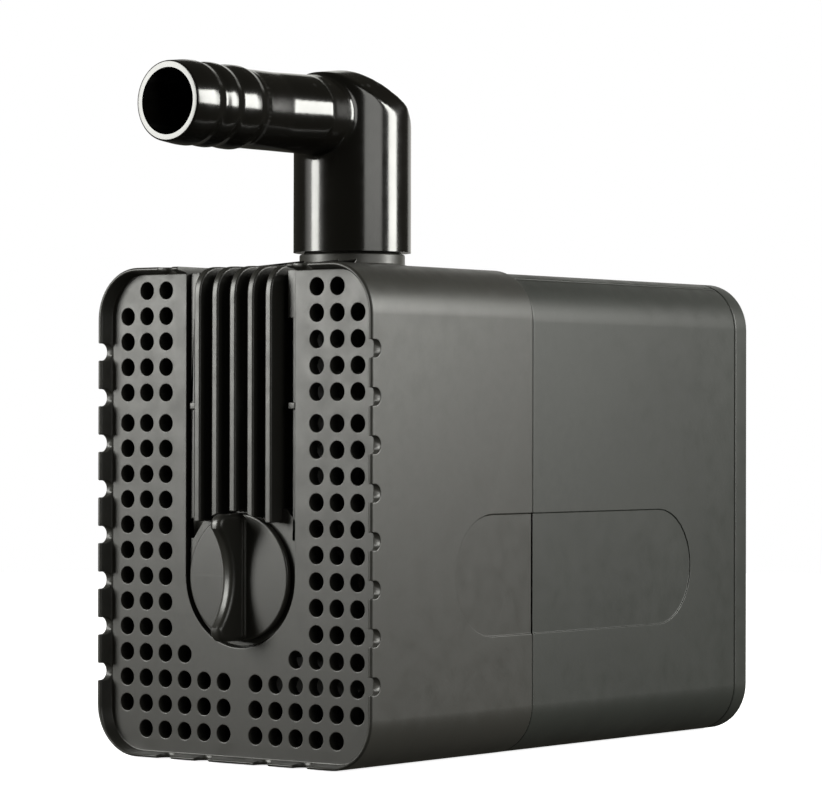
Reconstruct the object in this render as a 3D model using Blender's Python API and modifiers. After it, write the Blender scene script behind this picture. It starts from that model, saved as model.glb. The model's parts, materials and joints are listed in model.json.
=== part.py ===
"""Fountain submersible pump: strainer cover, wet end, permanent-magnet rotor and potted motor.

The origin is the centre of the body's underside. The strainer faces -Y, the
label side faces +X and the outlet stands on +Z. The rotor's axis runs along Y.
"""
from math import cos, pi, radians, sin

import bmesh
import bpy
from mathutils import Matrix, Vector

MM = 0.001
GAP = 0.3 * MM                     # clearance kept between neighbouring pieces
OVER = 1.0 * MM                    # how far a cutter reaches past what it cuts

# Body
BODY_HALF_WIDTH = 27.7 * MM
BODY_HEIGHT = 76.7 * MM
BODY_CORNER = 8.0 * MM
HOUSING_HEIGHT = 76.3 * MM
HOUSING_INSET = 0.1 * MM
WALL = 1.9 * MM
RIM_THICKNESS = 1.0 * MM
RIM_FRONT_Y = -52.2 * MM
PANEL_FRONT_Y = -50.0 * MM
PANEL_THICKNESS = 2.0 * MM
COVER_BACK_Y = -11.15 * MM
HOUSING_FRONT_Y = -10.85 * MM
HOUSING_BACK_Y = 47.85 * MM
HOUSING_WALL = 2.1 * MM
HOUSING_FRONT_WALL = 2.0 * MM
LIP_DEPTH = 2.4 * MM
LIP_INNER_INSET = 3.6 * MM
CAP_FRONT_Y = 48.15 * MM
CAP_BACK_Y = 52.0 * MM
PLUG_DEPTH = 4.0 * MM
PLUG_INSET = 2.5 * MM
PLUG_INNER_INSET = 4.3 * MM

# Strainer holes and rim notches
HOLE_RADIUS = 1.35 * MM
HOLE_SIDES = 8
HOLE_PITCH = 4.0 * MM
FIRST_COLUMN_X = 3.21 * MM
LOWER_ROWS_TOP_Z = 52.3 * MM
UPPER_ROWS_BOTTOM_Z = 57.09 * MM
LOWER_ROWS = 13
UPPER_ROWS = 5
SIDE_NOTCHES = 8
SIDE_NOTCH_TOP_Z = 63.55 * MM
SIDE_NOTCH_PITCH = 7.22 * MM
NOTCH_RADIUS = 1.35 * MM
NOTCH_DEPTH = 2.15 * MM
END_NOTCH_X = 13.7 * MM
BOTTOM_NOTCH_X = 6.0 * MM
SLOT_HALF_WIDTH = 10.95 * MM
SLOT_END_DEPTH = 12.2 * MM

# Label recess, on the +X side
LABEL_LENGTH = 65.5 * MM
LABEL_HEIGHT = 19.0 * MM
LABEL_Y = 1.4 * MM
LABEL_Z = 28.7 * MM
LABEL_DEPTH = 0.3 * MM

# Rotor axis and outlet axis
AXIS_Z = 28.6 * MM
OUTLET_Y = -22.3 * MM

# Outlet neck and elbow
NECK_RADIUS = 8.45 * MM
NECK_BOTTOM_Z = 56.0 * MM
DUCT_RADIUS = 6.4 * MM
DUCT_TOP_Z = 53.5 * MM
DUCT_BOTTOM_Z = 42.0 * MM
COLLAR_RADIUS = 8.85 * MM
COLLAR_BOTTOM_Z = 76.1 * MM
COLLAR_TOP_Z = 77.6 * MM
NECK_TOP_Z = 79.3 * MM
SPIGOT_RADIUS = 7.6 * MM
SPIGOT_TOP_Z = 90.0 * MM
SPIGOT_EDGE = 0.6 * MM
OUTLET_BORE = 5.5 * MM
ELBOW_RADIUS = 9.42 * MM
ELBOW_BOTTOM_Z = 79.6 * MM
ELBOW_ARCH_RADIUS = 9.26 * MM
ELBOW_ARCH_Z = 99.75 * MM          # the arch's axis, above the outlet's axis
ELBOW_ARCH_TILT = 7.0              # degrees, rising towards the back
CHAMFER_Z = 105.5 * MM             # where the back chamfer crosses the outlet's axis
CHAMFER_TILT = 41.3                # degrees
BARB_Z = 100.8 * MM
BARB_TIP_Y = -67.05 * MM
BARB_BORE = 5.1 * MM
BARB_TIP_RADIUS = 6.14 * MM
BARB_RIDGE_RADIUS = 6.52 * MM
BARB_FOOT_RADIUS = 6.2 * MM
HOSE_TUBE_RADIUS = 6.05 * MM
CONE_LENGTH = 18.2 * MM            # from the outlet's axis to where the hose tube starts
CONE_BASE_RADIUS = 7.9 * MM
ELBOW_WALL = 1.6 * MM
O_RING_Z = 85.0 * MM
O_RING_CENTRE_RADIUS = 7.15 * MM
O_RING_THICKNESS = 1.0 * MM
GROOVE_HALF_HEIGHT = 0.9 * MM
GROOVE_DEPTH = 1.2 * MM

# Ribs and dial
RIB_COUNT = 5
RIB_PITCH = 3.58 * MM
RIB_WIDTH = 1.3 * MM
RIB_FRONT_Y = -51.9 * MM
RIB_BOTTOM_Z = 34.5 * MM
PLATE_TOP_Z = 35.9 * MM
RIB_CORNER = 5.0 * MM
RIB_DEPTH = 5.0 * MM
RIB_BACK_Y = -31.5 * MM
BRIDGE_THICKNESS = 1.6 * MM
PLATE_FRONT_Y = -49.25 * MM
PLATE_THICKNESS = 2.0 * MM
PLATE_HALF_WIDTH = 10.45 * MM
RAIL_INNER_X = 9.3 * MM
RAIL_BOTTOM_Z = 68.4 * MM
DIAL_RADIUS = 9.9 * MM
DIAL_FRONT_Y = -50.4 * MM
DIAL_BACK_Y = -49.55 * MM
FIN_THICKNESS = 2.3 * MM
FIN_END_Y = -56.0 * MM
FIN_MIDDLE_Y = -53.0 * MM
FIN_MARGIN = 0.1 * MM
FIN_CORNER = 1.8 * MM
FIN_SCOOP_REACH = 7.6 * MM
SPINDLE_RADIUS = 3.4 * MM
SPINDLE_LENGTH = 5.4 * MM
CLIP_GROOVE_DEPTH = 0.7 * MM
CLIP_GROOVE_WIDTH = 1.0 * MM
CLIP_THICKNESS = 0.6 * MM
CLIP_OUTER_RADIUS = 5.3 * MM
CLIP_MOUTH_HALF_WIDTH = 1.6 * MM

# Wet end
TOWER_RADIUS = 13.0 * MM
TOWER_WALL = 1.5 * MM
TOWER_BACK_Y = -31.6 * MM
INLET_INNER_RADIUS = 3.9 * MM
INLET_OUTER_RADIUS = 8.6 * MM
SPOKE_REACH = 9.2 * MM
SPOKE_HALF_HEIGHT = 0.9 * MM
BEARING_SEAT_RADIUS = 2.9 * MM
TOWER_WINDOW = (6.0 * MM, 20.0 * MM, -45.0 * MM, -34.0 * MM, 8.0 * MM)    # x, x, y, y, half height
SHUTTER_RADIUS = 11.1 * MM
SHUTTER_WALL = 1.2 * MM
SHUTTER_BACK_Y = -33.0 * MM
SHUTTER_WINDOW = (5.6 * MM, 15.0 * MM, -44.6 * MM, -34.4 * MM, 7.8 * MM)
CHAMBER_RADIUS = 20.6 * MM
CHAMBER_WALL = 2.0 * MM
CHAMBER_FRONT_Y = -29.0 * MM
CHAMBER_BACK_Y = -13.4 * MM
IMPELLER_RADIUS = 13.5 * MM
IMPELLER_BLADES = 6
IMPELLER_FRONT_Y = -27.4 * MM
IMPELLER_DISC = 1.5 * MM
IMPELLER_HUB_RADIUS = 4.4 * MM
IMPELLER_BORE = 3.1 * MM
BLADE_FRONT_Y = -26.4 * MM
BLADE_THICKNESS = 1.2 * MM

# Rotor
SHAFT_RADIUS = 1.5 * MM
SHAFT_FRONT_Y = -33.2 * MM
SHAFT_BACK_Y = 26.9 * MM
RUNNING_GAP = 0.08 * MM
SLEEVE_RADIUS = 2.8 * MM
WASHER_RADIUS = 3.0 * MM
WASHER_GAP = 0.15 * MM
MAGNET_RADIUS = 10.0 * MM
MAGNET_BORE = 3.1 * MM
MAGNET_FRONT_Y = -6.0 * MM
MAGNET_BACK_Y = 22.0 * MM
WELL_INNER_RADIUS = 11.0 * MM
WELL_WALL = 1.2 * MM
WELL_BACK_Y = 29.0 * MM
WELL_CORNER = 1.0 * MM
WELL_FLANGE = 4.0 * MM
BEARING_POCKET_Y = 25.0 * MM
BEARING_POCKET_RADIUS = 3.9 * MM

# Stator
CORE_FRONT_Y = -1.0 * MM
CORE_BACK_Y = 19.0 * MM
CORE_HALF_WIDTH = 21.0 * MM
CORE_BOTTOM_Z = 12.0 * MM
POLE_TOP_Z = 43.0 * MM
CORE_TOP_Z = 72.0 * MM
LEG_INNER_X = 8.2 * MM
LEG_OUTER_X = 15.2 * MM
YOKE_OVERHANG = 0.5 * MM
POLE_GAP_HALF = 2.0 * MM
COIL_BOTTOM_Z = 44.0 * MM
COIL_TOP_Z = 63.8 * MM
BOBBIN_WALL = 0.9 * MM
FLANGE_THICKNESS = 1.2 * MM
WINDING_THICKNESS = 4.8 * MM
POTTING_FRONT_Y = 31.0 * MM
POTTING_BACK_Y = 41.0 * MM
GLAND_Z = 58.0 * MM
GLAND_RADIUS = 6.4 * MM
GLAND_BORE = 3.3 * MM
GLAND_SEAT = 2.6 * MM
GLAND_FLANGE = 1.6 * MM
GLAND_NOSE = 2.2 * MM
LEAD_RADIUS = 0.75 * MM
PASSAGE_HALF_WIDTH = 6.0 * MM
PASSAGE_HALF_HEIGHT = 3.0 * MM


# ---------------------------------------------------------------- the scene

def clear_scene():
    for old in list(bpy.data.objects):
        bpy.data.objects.remove(old, do_unlink=True)


def new_collection(name):
    group = bpy.data.collections.new(name)
    bpy.context.scene.collection.children.link(group)
    return group


clear_scene()
PARTS = new_collection("fountain_pump")
CUTTERS = new_collection("cutters")


def material(name, colour, roughness, metallic=0.0):
    made = bpy.data.materials.new(name)
    made.use_nodes = True
    shader = made.node_tree.nodes["Principled BSDF"]
    shader.inputs["Base Color"].default_value = (*colour, 1.0)
    shader.inputs["Roughness"].default_value = roughness
    shader.inputs["Metallic"].default_value = metallic
    return made


SATIN_GREY = material("satin_grey_plastic", (0.060, 0.060, 0.055), 0.50)
HOUSING_GREY = material("housing_grey_plastic", (0.052, 0.054, 0.049), 0.52)
GLOSS_BLACK = material("gloss_black_plastic", (0.010, 0.010, 0.011), 0.16)
DIAL_BLACK = material("dial_black_plastic", (0.030, 0.031, 0.029), 0.35)
INNER_BLACK = material("inner_black_plastic", (0.028, 0.028, 0.028), 0.45)
NATURAL_PLASTIC = material("natural_plastic", (0.60, 0.58, 0.52), 0.45)
BLACK_RUBBER = material("black_rubber", (0.018, 0.018, 0.018), 0.70)
FERRITE = material("ferrite", (0.070, 0.066, 0.064), 0.48, 0.2)
CERAMIC = material("ceramic", (0.82, 0.80, 0.75), 0.25)
LAMINATED_STEEL = material("laminated_steel", (0.42, 0.42, 0.43), 0.40, 0.9)
SPRING_STEEL = material("spring_steel", (0.55, 0.55, 0.56), 0.30, 1.0)
ENAMELLED_COPPER = material("enamelled_copper", (0.48, 0.19, 0.06), 0.34, 0.7)
POTTING_RESIN = material("potting_resin", (0.030, 0.030, 0.035), 0.30)
BROWN_INSULATION = material("brown_insulation", (0.16, 0.07, 0.03), 0.50)
BLUE_INSULATION = material("blue_insulation", (0.03, 0.12, 0.42), 0.50)
GREEN_INSULATION = material("green_insulation", (0.10, 0.30, 0.05), 0.50)


# ------------------------------------------------------------ basic shapes

def add_object(name, mesh, finish=None):
    """A part when it has a finish, and otherwise a hidden cutter."""
    made = bpy.data.objects.new(name, mesh)
    if finish is None:
        CUTTERS.objects.link(made)
        made.hide_render = True
        made.display_type = "WIRE"
        return made
    PARTS.objects.link(made)
    mesh.materials.append(finish)
    return made


def mesh_from(name, shape):
    mesh = bpy.data.meshes.new(name)
    bmesh.ops.recalc_face_normals(shape, faces=shape.faces)
    shape.to_mesh(mesh)
    shape.free()
    return mesh


def block(name, low, high, finish=None, rounding=0.0, along="Y", steps=5):
    """A box between two corners, with the four edges along one axis rounded."""
    low = Vector(low)
    size = Vector(high) - low
    shape = bmesh.new()
    bmesh.ops.create_cube(shape, size=1.0)
    for vertex in shape.verts:
        vertex.co = low + Vector([(vertex.co[i] + 0.5) * size[i] for i in range(3)])
    if rounding > 0.0:
        axis = "XYZ".index(along)
        others = [i for i in range(3) if i != axis]
        edges = [edge for edge in shape.edges
                 if all(abs((edge.verts[0].co - edge.verts[1].co)[i]) < 1e-7 for i in others)]
        bmesh.ops.bevel(shape, geom=edges, offset=rounding, segments=steps, profile=0.5,
                        affect="EDGES", clamp_overlap=False)
    return add_object(name, mesh_from(name, shape), finish)


AXIS_TURN = {"X": Matrix.Rotation(radians(90.0), 4, "Y"),
             "Y": Matrix.Rotation(radians(-90.0), 4, "X"),
             "Z": Matrix.Identity(4)}


def rod(name, radius, start, length, along, finish=None, sides=32):
    """A solid cylinder that runs from start along +X, +Y or +Z."""
    shape = bmesh.new()
    place = Matrix.Translation(start) @ AXIS_TURN[along] @ Matrix.Translation((0.0, 0.0, length / 2))
    bmesh.ops.create_cone(shape, cap_ends=True, segments=sides, radius1=radius, radius2=radius,
                          depth=length, matrix=place)
    made = add_object(name, mesh_from(name, shape), finish)
    smooth(made)
    return made


def smooth(piece, angle=35.0):
    piece.data.shade_smooth()
    piece.data.set_sharp_from_angle(angle=radians(angle))


def set_origin(piece, place):
    """Move a piece's origin to a point on its joint's axis, and leave its shape where it is."""
    piece.data.transform(Matrix.Translation(-Vector(place)))
    piece.location = place


def turned(name, profile, origin, along, finish=None, sides=32, closed=True):
    """A profile of (radius, height) points revolved about an axis through origin.

    A closed profile makes a ring. An open one starts and ends on the axis.
    """
    mesh = bpy.data.meshes.new(name)
    points = [(radius, 0.0, height) for radius, height in profile]
    count = len(points)
    edges = [(i, (i + 1) % count) for i in range(count if closed else count - 1)]
    mesh.from_pydata(points, edges, [])
    made = add_object(name, mesh, finish)
    made.matrix_world = Matrix.Translation(origin) @ AXIS_TURN[along]
    screw = made.modifiers.new("revolve", "SCREW")
    screw.axis = "Z"
    screw.angle = 2.0 * pi
    screw.steps = sides
    screw.render_steps = sides
    screw.use_merge_vertices = True
    screw.merge_threshold = 0.00001
    screw.use_smooth_shade = True
    return made


def washer(name, inner, outer, start, length, along, finish=None, sides=32):
    """A plain ring that runs from start along one axis."""
    profile = [(outer, length), (outer, 0.0), (inner, 0.0), (inner, length)]
    return turned(name, profile, start, along, finish, sides)


def boolean(piece, other, operation):
    step = piece.modifiers.new(other.name, "BOOLEAN")
    step.operation = operation
    step.object = other
    step.solver = "EXACT"
    return piece


def cut(piece, *tools):
    for tool in tools:
        boolean(piece, tool, "DIFFERENCE")
    return piece


def fuse(piece, *others):
    for other in others:
        boolean(piece, other, "UNION")
    return piece


def keep_inside(piece, tool):
    return boolean(piece, tool, "INTERSECT")


def many(name, makers):
    """One cutter object made of many separate solids."""
    shape = bmesh.new()
    for make in makers:
        make(shape)
    return add_object(name, mesh_from(name, shape))


def rod_maker(radius, start, length, along, sides):
    place = Matrix.Translation(start) @ AXIS_TURN[along] @ Matrix.Translation((0.0, 0.0, length / 2))

    def make(shape):
        bmesh.ops.create_cone(shape, cap_ends=True, segments=sides, radius1=radius,
                              radius2=radius, depth=length, matrix=place)
    return make


def box_maker(low, high):
    centre = (Vector(low) + Vector(high)) / 2
    size = Vector(high) - Vector(low)

    def make(shape):
        place = Matrix.Translation(centre) @ Matrix.Diagonal((*size, 1.0))
        bmesh.ops.create_cube(shape, size=1.0, matrix=place)
    return make


def body_block(name, y_from, y_to, inset, top, finish=None, bottom=0.0):
    """A rounded-rectangle prism along Y, inset from the body's outside."""
    half = BODY_HALF_WIDTH - inset
    return block(name, (-half, y_from, bottom + inset), (half, y_to, top - inset), finish,
                 rounding=BODY_CORNER - inset)


def label_cutter(name):
    """The shallow stadium that the label is moulded in."""
    half_length = LABEL_LENGTH / 2
    half_height = LABEL_HEIGHT / 2
    return block(name, (BODY_HALF_WIDTH - LABEL_DEPTH, LABEL_Y - half_length, LABEL_Z - half_height),
                 (BODY_HALF_WIDTH + OVER, LABEL_Y + half_length, LABEL_Z + half_height),
                 rounding=half_height - 0.1 * MM, along="X", steps=8)


# ---------------------------------------------------------- strainer cover

def row_heights():
    """Heights of the hole rows, from the top one down."""
    upper = [UPPER_ROWS_BOTTOM_Z + i * HOLE_PITCH for i in range(UPPER_ROWS)]
    lower = [LOWER_ROWS_TOP_Z - i * HOLE_PITCH for i in range(LOWER_ROWS)]
    return sorted(upper + lower, reverse=True)


def columns_in_row(row):
    """Columns with a hole, counted from the middle (0) to the side (5)."""
    if row == 0:
        return (3, 4)
    if row == 14:
        return (2, 3, 4, 5)
    if row in (15, 16):
        return (0, 1, 2, 3, 4, 5)
    if row == 17:
        return (0, 1, 2, 3, 4)
    return (3, 4, 5)


def hole_makers():
    start_y = PANEL_FRONT_Y - OVER
    length = PANEL_THICKNESS + 2 * OVER
    makers = []
    for row, height in enumerate(row_heights()):
        for column in columns_in_row(row):
            for side in (-1, 1):
                x = side * (FIRST_COLUMN_X + column * HOLE_PITCH)
                makers.append(rod_maker(HOLE_RADIUS, (x, start_y, height), length, "Y", HOLE_SIDES))
    return makers


def notch_cutters(name, along, places, start, length):
    """Round-bottomed notches in the rim, as rods and the boxes in front of them.

    They run along X or Z, and each place is the other coordinate.
    """
    bottom_y = RIM_FRONT_Y + NOTCH_DEPTH - NOTCH_RADIUS
    front_y = RIM_FRONT_Y - OVER
    rods = []
    boxes = []
    for place in places:
        if along == "X":
            centre = (start, bottom_y, place)
            low = (start, front_y, place - NOTCH_RADIUS)
            high = (start + length, bottom_y, place + NOTCH_RADIUS)
        else:
            centre = (place, bottom_y, start)
            low = (place - NOTCH_RADIUS, front_y, start)
            high = (place + NOTCH_RADIUS, bottom_y, start + length)
        rods.append(rod_maker(NOTCH_RADIUS, centre, length, along, 12))
        boxes.append(box_maker(low, high))
    return many(f"{name}_rounds", rods), many(f"{name}_fronts", boxes)


def make_front_cover():
    cover = body_block("front_cover", RIM_FRONT_Y, COVER_BACK_Y, 0.0, BODY_HEIGHT, SATIN_GREY)
    hollow = body_block("cover_hollow", PANEL_FRONT_Y + PANEL_THICKNESS, COVER_BACK_Y + OVER, WALL,
                        BODY_HEIGHT)
    recess = body_block("rim_recess", RIM_FRONT_Y - OVER, PANEL_FRONT_Y, RIM_THICKNESS, BODY_HEIGHT)
    slot = block("slot", (-SLOT_HALF_WIDTH, RIM_FRONT_Y - OVER, AXIS_Z),
                 (SLOT_HALF_WIDTH, COVER_BACK_Y + OVER, BODY_HEIGHT + OVER))
    slot_end = rod("slot_end", SLOT_HALF_WIDTH, (0.0, RIM_FRONT_Y - OVER, AXIS_Z),
                   SLOT_END_DEPTH, "Y", sides=32)
    holes = many("holes", hole_makers())
    side_places = [SIDE_NOTCH_TOP_Z - i * SIDE_NOTCH_PITCH for i in range(SIDE_NOTCHES)]
    half = BODY_HALF_WIDTH + OVER
    side_notches = notch_cutters("side_notch", "X", side_places, -half, 2 * half)
    tall_notches = notch_cutters("tall_notch", "Z", (-END_NOTCH_X, END_NOTCH_X), -OVER,
                                 BODY_HEIGHT + 2 * OVER)
    low_notches = notch_cutters("low_notch", "Z", (-BOTTOM_NOTCH_X, BOTTOM_NOTCH_X), -OVER,
                                WALL + 2 * OVER)
    cut(cover, hollow, recess, slot, slot_end, holes, *side_notches, *tall_notches, *low_notches,
        label_cutter("label_in_cover"))
    return cover


# ------------------------------------------------------------ motor housing

def make_motor_housing():
    top = HOUSING_HEIGHT
    housing = block("motor_housing", (-BODY_HALF_WIDTH + HOUSING_INSET, HOUSING_FRONT_Y, 0.0),
                    (BODY_HALF_WIDTH - HOUSING_INSET, HOUSING_BACK_Y, top), HOUSING_GREY,
                    rounding=BODY_CORNER)
    lip = body_block("cover_lip", HOUSING_FRONT_Y - LIP_DEPTH, HOUSING_FRONT_Y + OVER,
                     WALL + GAP + 0.1 * MM, BODY_HEIGHT)
    hollow = body_block("housing_hollow", HOUSING_FRONT_Y + HOUSING_FRONT_WALL,
                        HOUSING_BACK_Y + OVER, HOUSING_WALL, top)
    lip_hollow = body_block("lip_hollow", HOUSING_FRONT_Y - LIP_DEPTH - OVER, HOUSING_FRONT_Y,
                            LIP_INNER_INSET, BODY_HEIGHT)
    well_hole = rod("well_hole", WELL_INNER_RADIUS + WELL_WALL + GAP,
                    (0.0, HOUSING_FRONT_Y - OVER, AXIS_Z), HOUSING_FRONT_WALL + 2 * OVER, "Y")
    fuse(housing, lip)
    cut(housing, hollow, lip_hollow, well_hole, label_cutter("label_in_housing"))
    return housing


def make_rear_cap():
    cap = block("rear_cap", (-BODY_HALF_WIDTH + HOUSING_INSET, CAP_FRONT_Y, 0.0),
                (BODY_HALF_WIDTH - HOUSING_INSET, CAP_BACK_Y, HOUSING_HEIGHT), HOUSING_GREY,
                rounding=BODY_CORNER)
    plug = body_block("cap_plug", CAP_FRONT_Y - PLUG_DEPTH, CAP_FRONT_Y + OVER, PLUG_INSET,
                      HOUSING_HEIGHT)
    plug_hollow = body_block("cap_plug_hollow", CAP_FRONT_Y - PLUG_DEPTH - OVER, CAP_FRONT_Y,
                             PLUG_INNER_INSET, HOUSING_HEIGHT)
    gland_hole = rod("gland_hole", GLAND_RADIUS + GAP, (0.0, CAP_FRONT_Y - OVER, GLAND_Z),
                     CAP_BACK_Y - CAP_FRONT_Y + 2 * OVER, "Y", sides=24)
    fuse(cap, plug)
    cut(cap, plug_hollow, gland_hole)
    return cap


def make_cable_gland():
    """A flanged rubber bush. Its bore is where the cord goes in."""
    inner_y = CAP_FRONT_Y - GLAND_SEAT
    length = CAP_BACK_Y - inner_y
    flange = GLAND_RADIUS + GLAND_FLANGE
    profile = [
        (GLAND_BORE, length + GLAND_NOSE),
        (GLAND_RADIUS - 1.9 * MM, length + GLAND_NOSE),
        (GLAND_RADIUS - 0.4 * MM, length + GAP),
        (GLAND_RADIUS, length),
        (GLAND_RADIUS, GLAND_SEAT - GAP),
        (flange, GLAND_SEAT - GAP),
        (flange, 0.6 * MM),
        (flange - 0.6 * MM, 0.0),
        (GLAND_BORE, 0.0),
    ]
    return turned("cable_gland", profile, (0.0, inner_y, GLAND_Z), "Y", BLACK_RUBBER, sides=24)


# ----------------------------------------------------- pump chamber, outlet

def make_pump_chamber():
    depth = CHAMBER_BACK_Y - CHAMBER_FRONT_Y
    chamber = rod("pump_chamber", CHAMBER_RADIUS, (0.0, CHAMBER_FRONT_Y, AXIS_Z), depth, "Y",
                  SATIN_GREY, sides=32)
    duct_profile = [
        (0.0, SPIGOT_TOP_Z),
        (SPIGOT_RADIUS - SPIGOT_EDGE, SPIGOT_TOP_Z),
        (SPIGOT_RADIUS, SPIGOT_TOP_Z - SPIGOT_EDGE),
        (SPIGOT_RADIUS, O_RING_Z + GROOVE_HALF_HEIGHT),
        (SPIGOT_RADIUS - GROOVE_DEPTH, O_RING_Z + GROOVE_HALF_HEIGHT),
        (SPIGOT_RADIUS - GROOVE_DEPTH, O_RING_Z - GROOVE_HALF_HEIGHT),
        (SPIGOT_RADIUS, O_RING_Z - GROOVE_HALF_HEIGHT),
        (SPIGOT_RADIUS, NECK_TOP_Z),
        (NECK_RADIUS, NECK_TOP_Z),
        (NECK_RADIUS, COLLAR_TOP_Z),
        (COLLAR_RADIUS, COLLAR_TOP_Z),
        (COLLAR_RADIUS, COLLAR_BOTTOM_Z),
        (NECK_RADIUS, COLLAR_BOTTOM_Z),
        (NECK_RADIUS, NECK_BOTTOM_Z),
        (DUCT_RADIUS, DUCT_TOP_Z),
        (DUCT_RADIUS, DUCT_BOTTOM_Z),
        (0.0, DUCT_BOTTOM_Z),
    ]
    duct = turned("duct", duct_profile, (0.0, OUTLET_Y, 0.0), "Z", sides=28, closed=False)
    volute = rod("volute_hollow", CHAMBER_RADIUS - CHAMBER_WALL, (0.0, CHAMBER_FRONT_Y - OVER, AXIS_Z),
                 depth - CHAMBER_WALL + OVER, "Y", sides=32)
    rotor_hole = rod("rotor_hole", WELL_INNER_RADIUS, (0.0, CHAMBER_BACK_Y - 2 * CHAMBER_WALL, AXIS_Z),
                     2 * CHAMBER_WALL + OVER, "Y")
    bore = rod("outlet_bore", OUTLET_BORE, (0.0, OUTLET_Y, AXIS_Z), SPIGOT_TOP_Z - AXIS_Z + OVER, "Z",
               sides=24)
    fuse(chamber, duct)
    cut(chamber, volute, rotor_hole, bore)
    return chamber


def ring_of(name, centre_radius, thickness, origin, along, finish, sides=24, section=6):
    """A ring with a round section, whose outer side runs from top to bottom."""
    points = []
    for i in range(section):
        angle = pi / 2 - 2 * pi * i / section
        points.append((centre_radius + thickness / 2 * cos(angle), thickness / 2 * sin(angle)))
    return turned(name, points, origin, along, finish, sides)


def barb_profile():
    """(radius, distance in front of the outlet axis), from the tip back to the elbow."""
    tip = OUTLET_Y - BARB_TIP_Y
    # where each ridge's crest starts and ends, and the foot behind it
    ridges = [(41.5 * MM, 39.9 * MM, 38.3 * MM), (36.9 * MM, 35.5 * MM, 34.0 * MM),
              (31.6 * MM, 30.0 * MM, 28.5 * MM)]
    points = [(0.0, tip), (BARB_TIP_RADIUS - 0.15 * MM, tip), (BARB_TIP_RADIUS, tip - 0.2 * MM)]
    for crest_start, crest_end, foot in ridges:
        points.append((BARB_RIDGE_RADIUS, crest_start))
        points.append((BARB_RIDGE_RADIUS, crest_end))
        points.append((BARB_FOOT_RADIUS, foot))
    points.append((HOSE_TUBE_RADIUS, ridges[-1][2] - 0.6 * MM))
    points.append((HOSE_TUBE_RADIUS, CONE_LENGTH))
    points.append((CONE_BASE_RADIUS, 0.0))
    points.append((0.0, 0.0))
    return points


def elbow_chamfer(name, wall):
    """A block above the sloping plane at the elbow's back, moved inwards by a wall."""
    tool = block(name, (-20 * MM, -30 * MM, 0.0), (20 * MM, 30 * MM, 30 * MM))
    tool.matrix_world = (Matrix.Translation((0.0, OUTLET_Y, CHAMFER_Z))
                         @ Matrix.Rotation(radians(-CHAMFER_TILT), 4, "X")
                         @ Matrix.Translation((0.0, 0.0, -wall)))
    return tool


def make_outlet_elbow():
    elbow = rod("outlet_elbow", ELBOW_RADIUS, (0.0, OUTLET_Y, ELBOW_BOTTOM_Z),
                ELBOW_ARCH_Z + 2 * ELBOW_ARCH_RADIUS - ELBOW_BOTTOM_Z, "Z", GLOSS_BLACK, sides=32)
    set_origin(elbow, (0.0, OUTLET_Y, ELBOW_BOTTOM_Z))
    # The arch is a little wider than the tube, and its lower corners stay below it.
    half = ELBOW_ARCH_RADIUS + 0.3 * MM
    arch = block("elbow_arch", (-half, -30 * MM, -50 * MM), (half, 30 * MM, ELBOW_ARCH_RADIUS),
                 rounding=ELBOW_ARCH_RADIUS, steps=9)
    arch.matrix_world = (Matrix.Translation((0.0, OUTLET_Y, ELBOW_ARCH_Z))
                         @ Matrix.Rotation(radians(ELBOW_ARCH_TILT), 4, "X"))
    # The barb's profile is measured forwards, and the turning axis points backwards.
    profile = [(radius, -distance) for radius, distance in reversed(barb_profile())]
    barb = turned("barb", profile, (0.0, OUTLET_Y, BARB_Z), "Y", sides=28, closed=False)
    socket = rod("elbow_socket", SPIGOT_RADIUS + GAP, (0.0, OUTLET_Y, ELBOW_BOTTOM_Z - OVER),
                 SPIGOT_TOP_Z + GAP - ELBOW_BOTTOM_Z + OVER, "Z", sides=28)
    passage = rod("elbow_passage", OUTLET_BORE, (0.0, OUTLET_Y, SPIGOT_TOP_Z - OVER),
                  BARB_Z + BARB_BORE - SPIGOT_TOP_Z, "Z", sides=24)
    hose_bore = rod("hose_bore", BARB_BORE, (0.0, BARB_TIP_Y - OVER, BARB_Z),
                    OUTLET_Y - BARB_TIP_Y + OVER + OUTLET_BORE, "Y", sides=24)
    cut(passage, elbow_chamfer("passage_end", ELBOW_WALL))
    cut(hose_bore, elbow_chamfer("hose_bore_end", ELBOW_WALL))
    keep_inside(elbow, arch)
    fuse(elbow, barb)
    cut(elbow, elbow_chamfer("elbow_back", 0.0), socket, passage, hose_bore)
    return elbow


def make_outlet_o_ring():
    return ring_of("outlet_o_ring", O_RING_CENTRE_RADIUS, O_RING_THICKNESS,
                   (0.0, OUTLET_Y, O_RING_Z), "Z", BLACK_RUBBER)


# ------------------------------------------------------------ intake cover

def rib_maker(centre_x):
    def make(shape):
        box_maker((centre_x - RIB_WIDTH / 2, RIB_FRONT_Y, RIB_BOTTOM_Z),
                  (centre_x + RIB_WIDTH / 2, RIB_BACK_Y, BODY_HEIGHT))(shape)
    return make


def window_makers(inner_x, outer_x, front_y, back_y, half_height):
    """Two openings, one on each side, level with the rotor's axis."""
    return [box_maker((min(side * inner_x, side * outer_x), front_y, AXIS_Z - half_height),
                      (max(side * inner_x, side * outer_x), back_y, AXIS_Z + half_height))
            for side in (-1, 1)]


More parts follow.
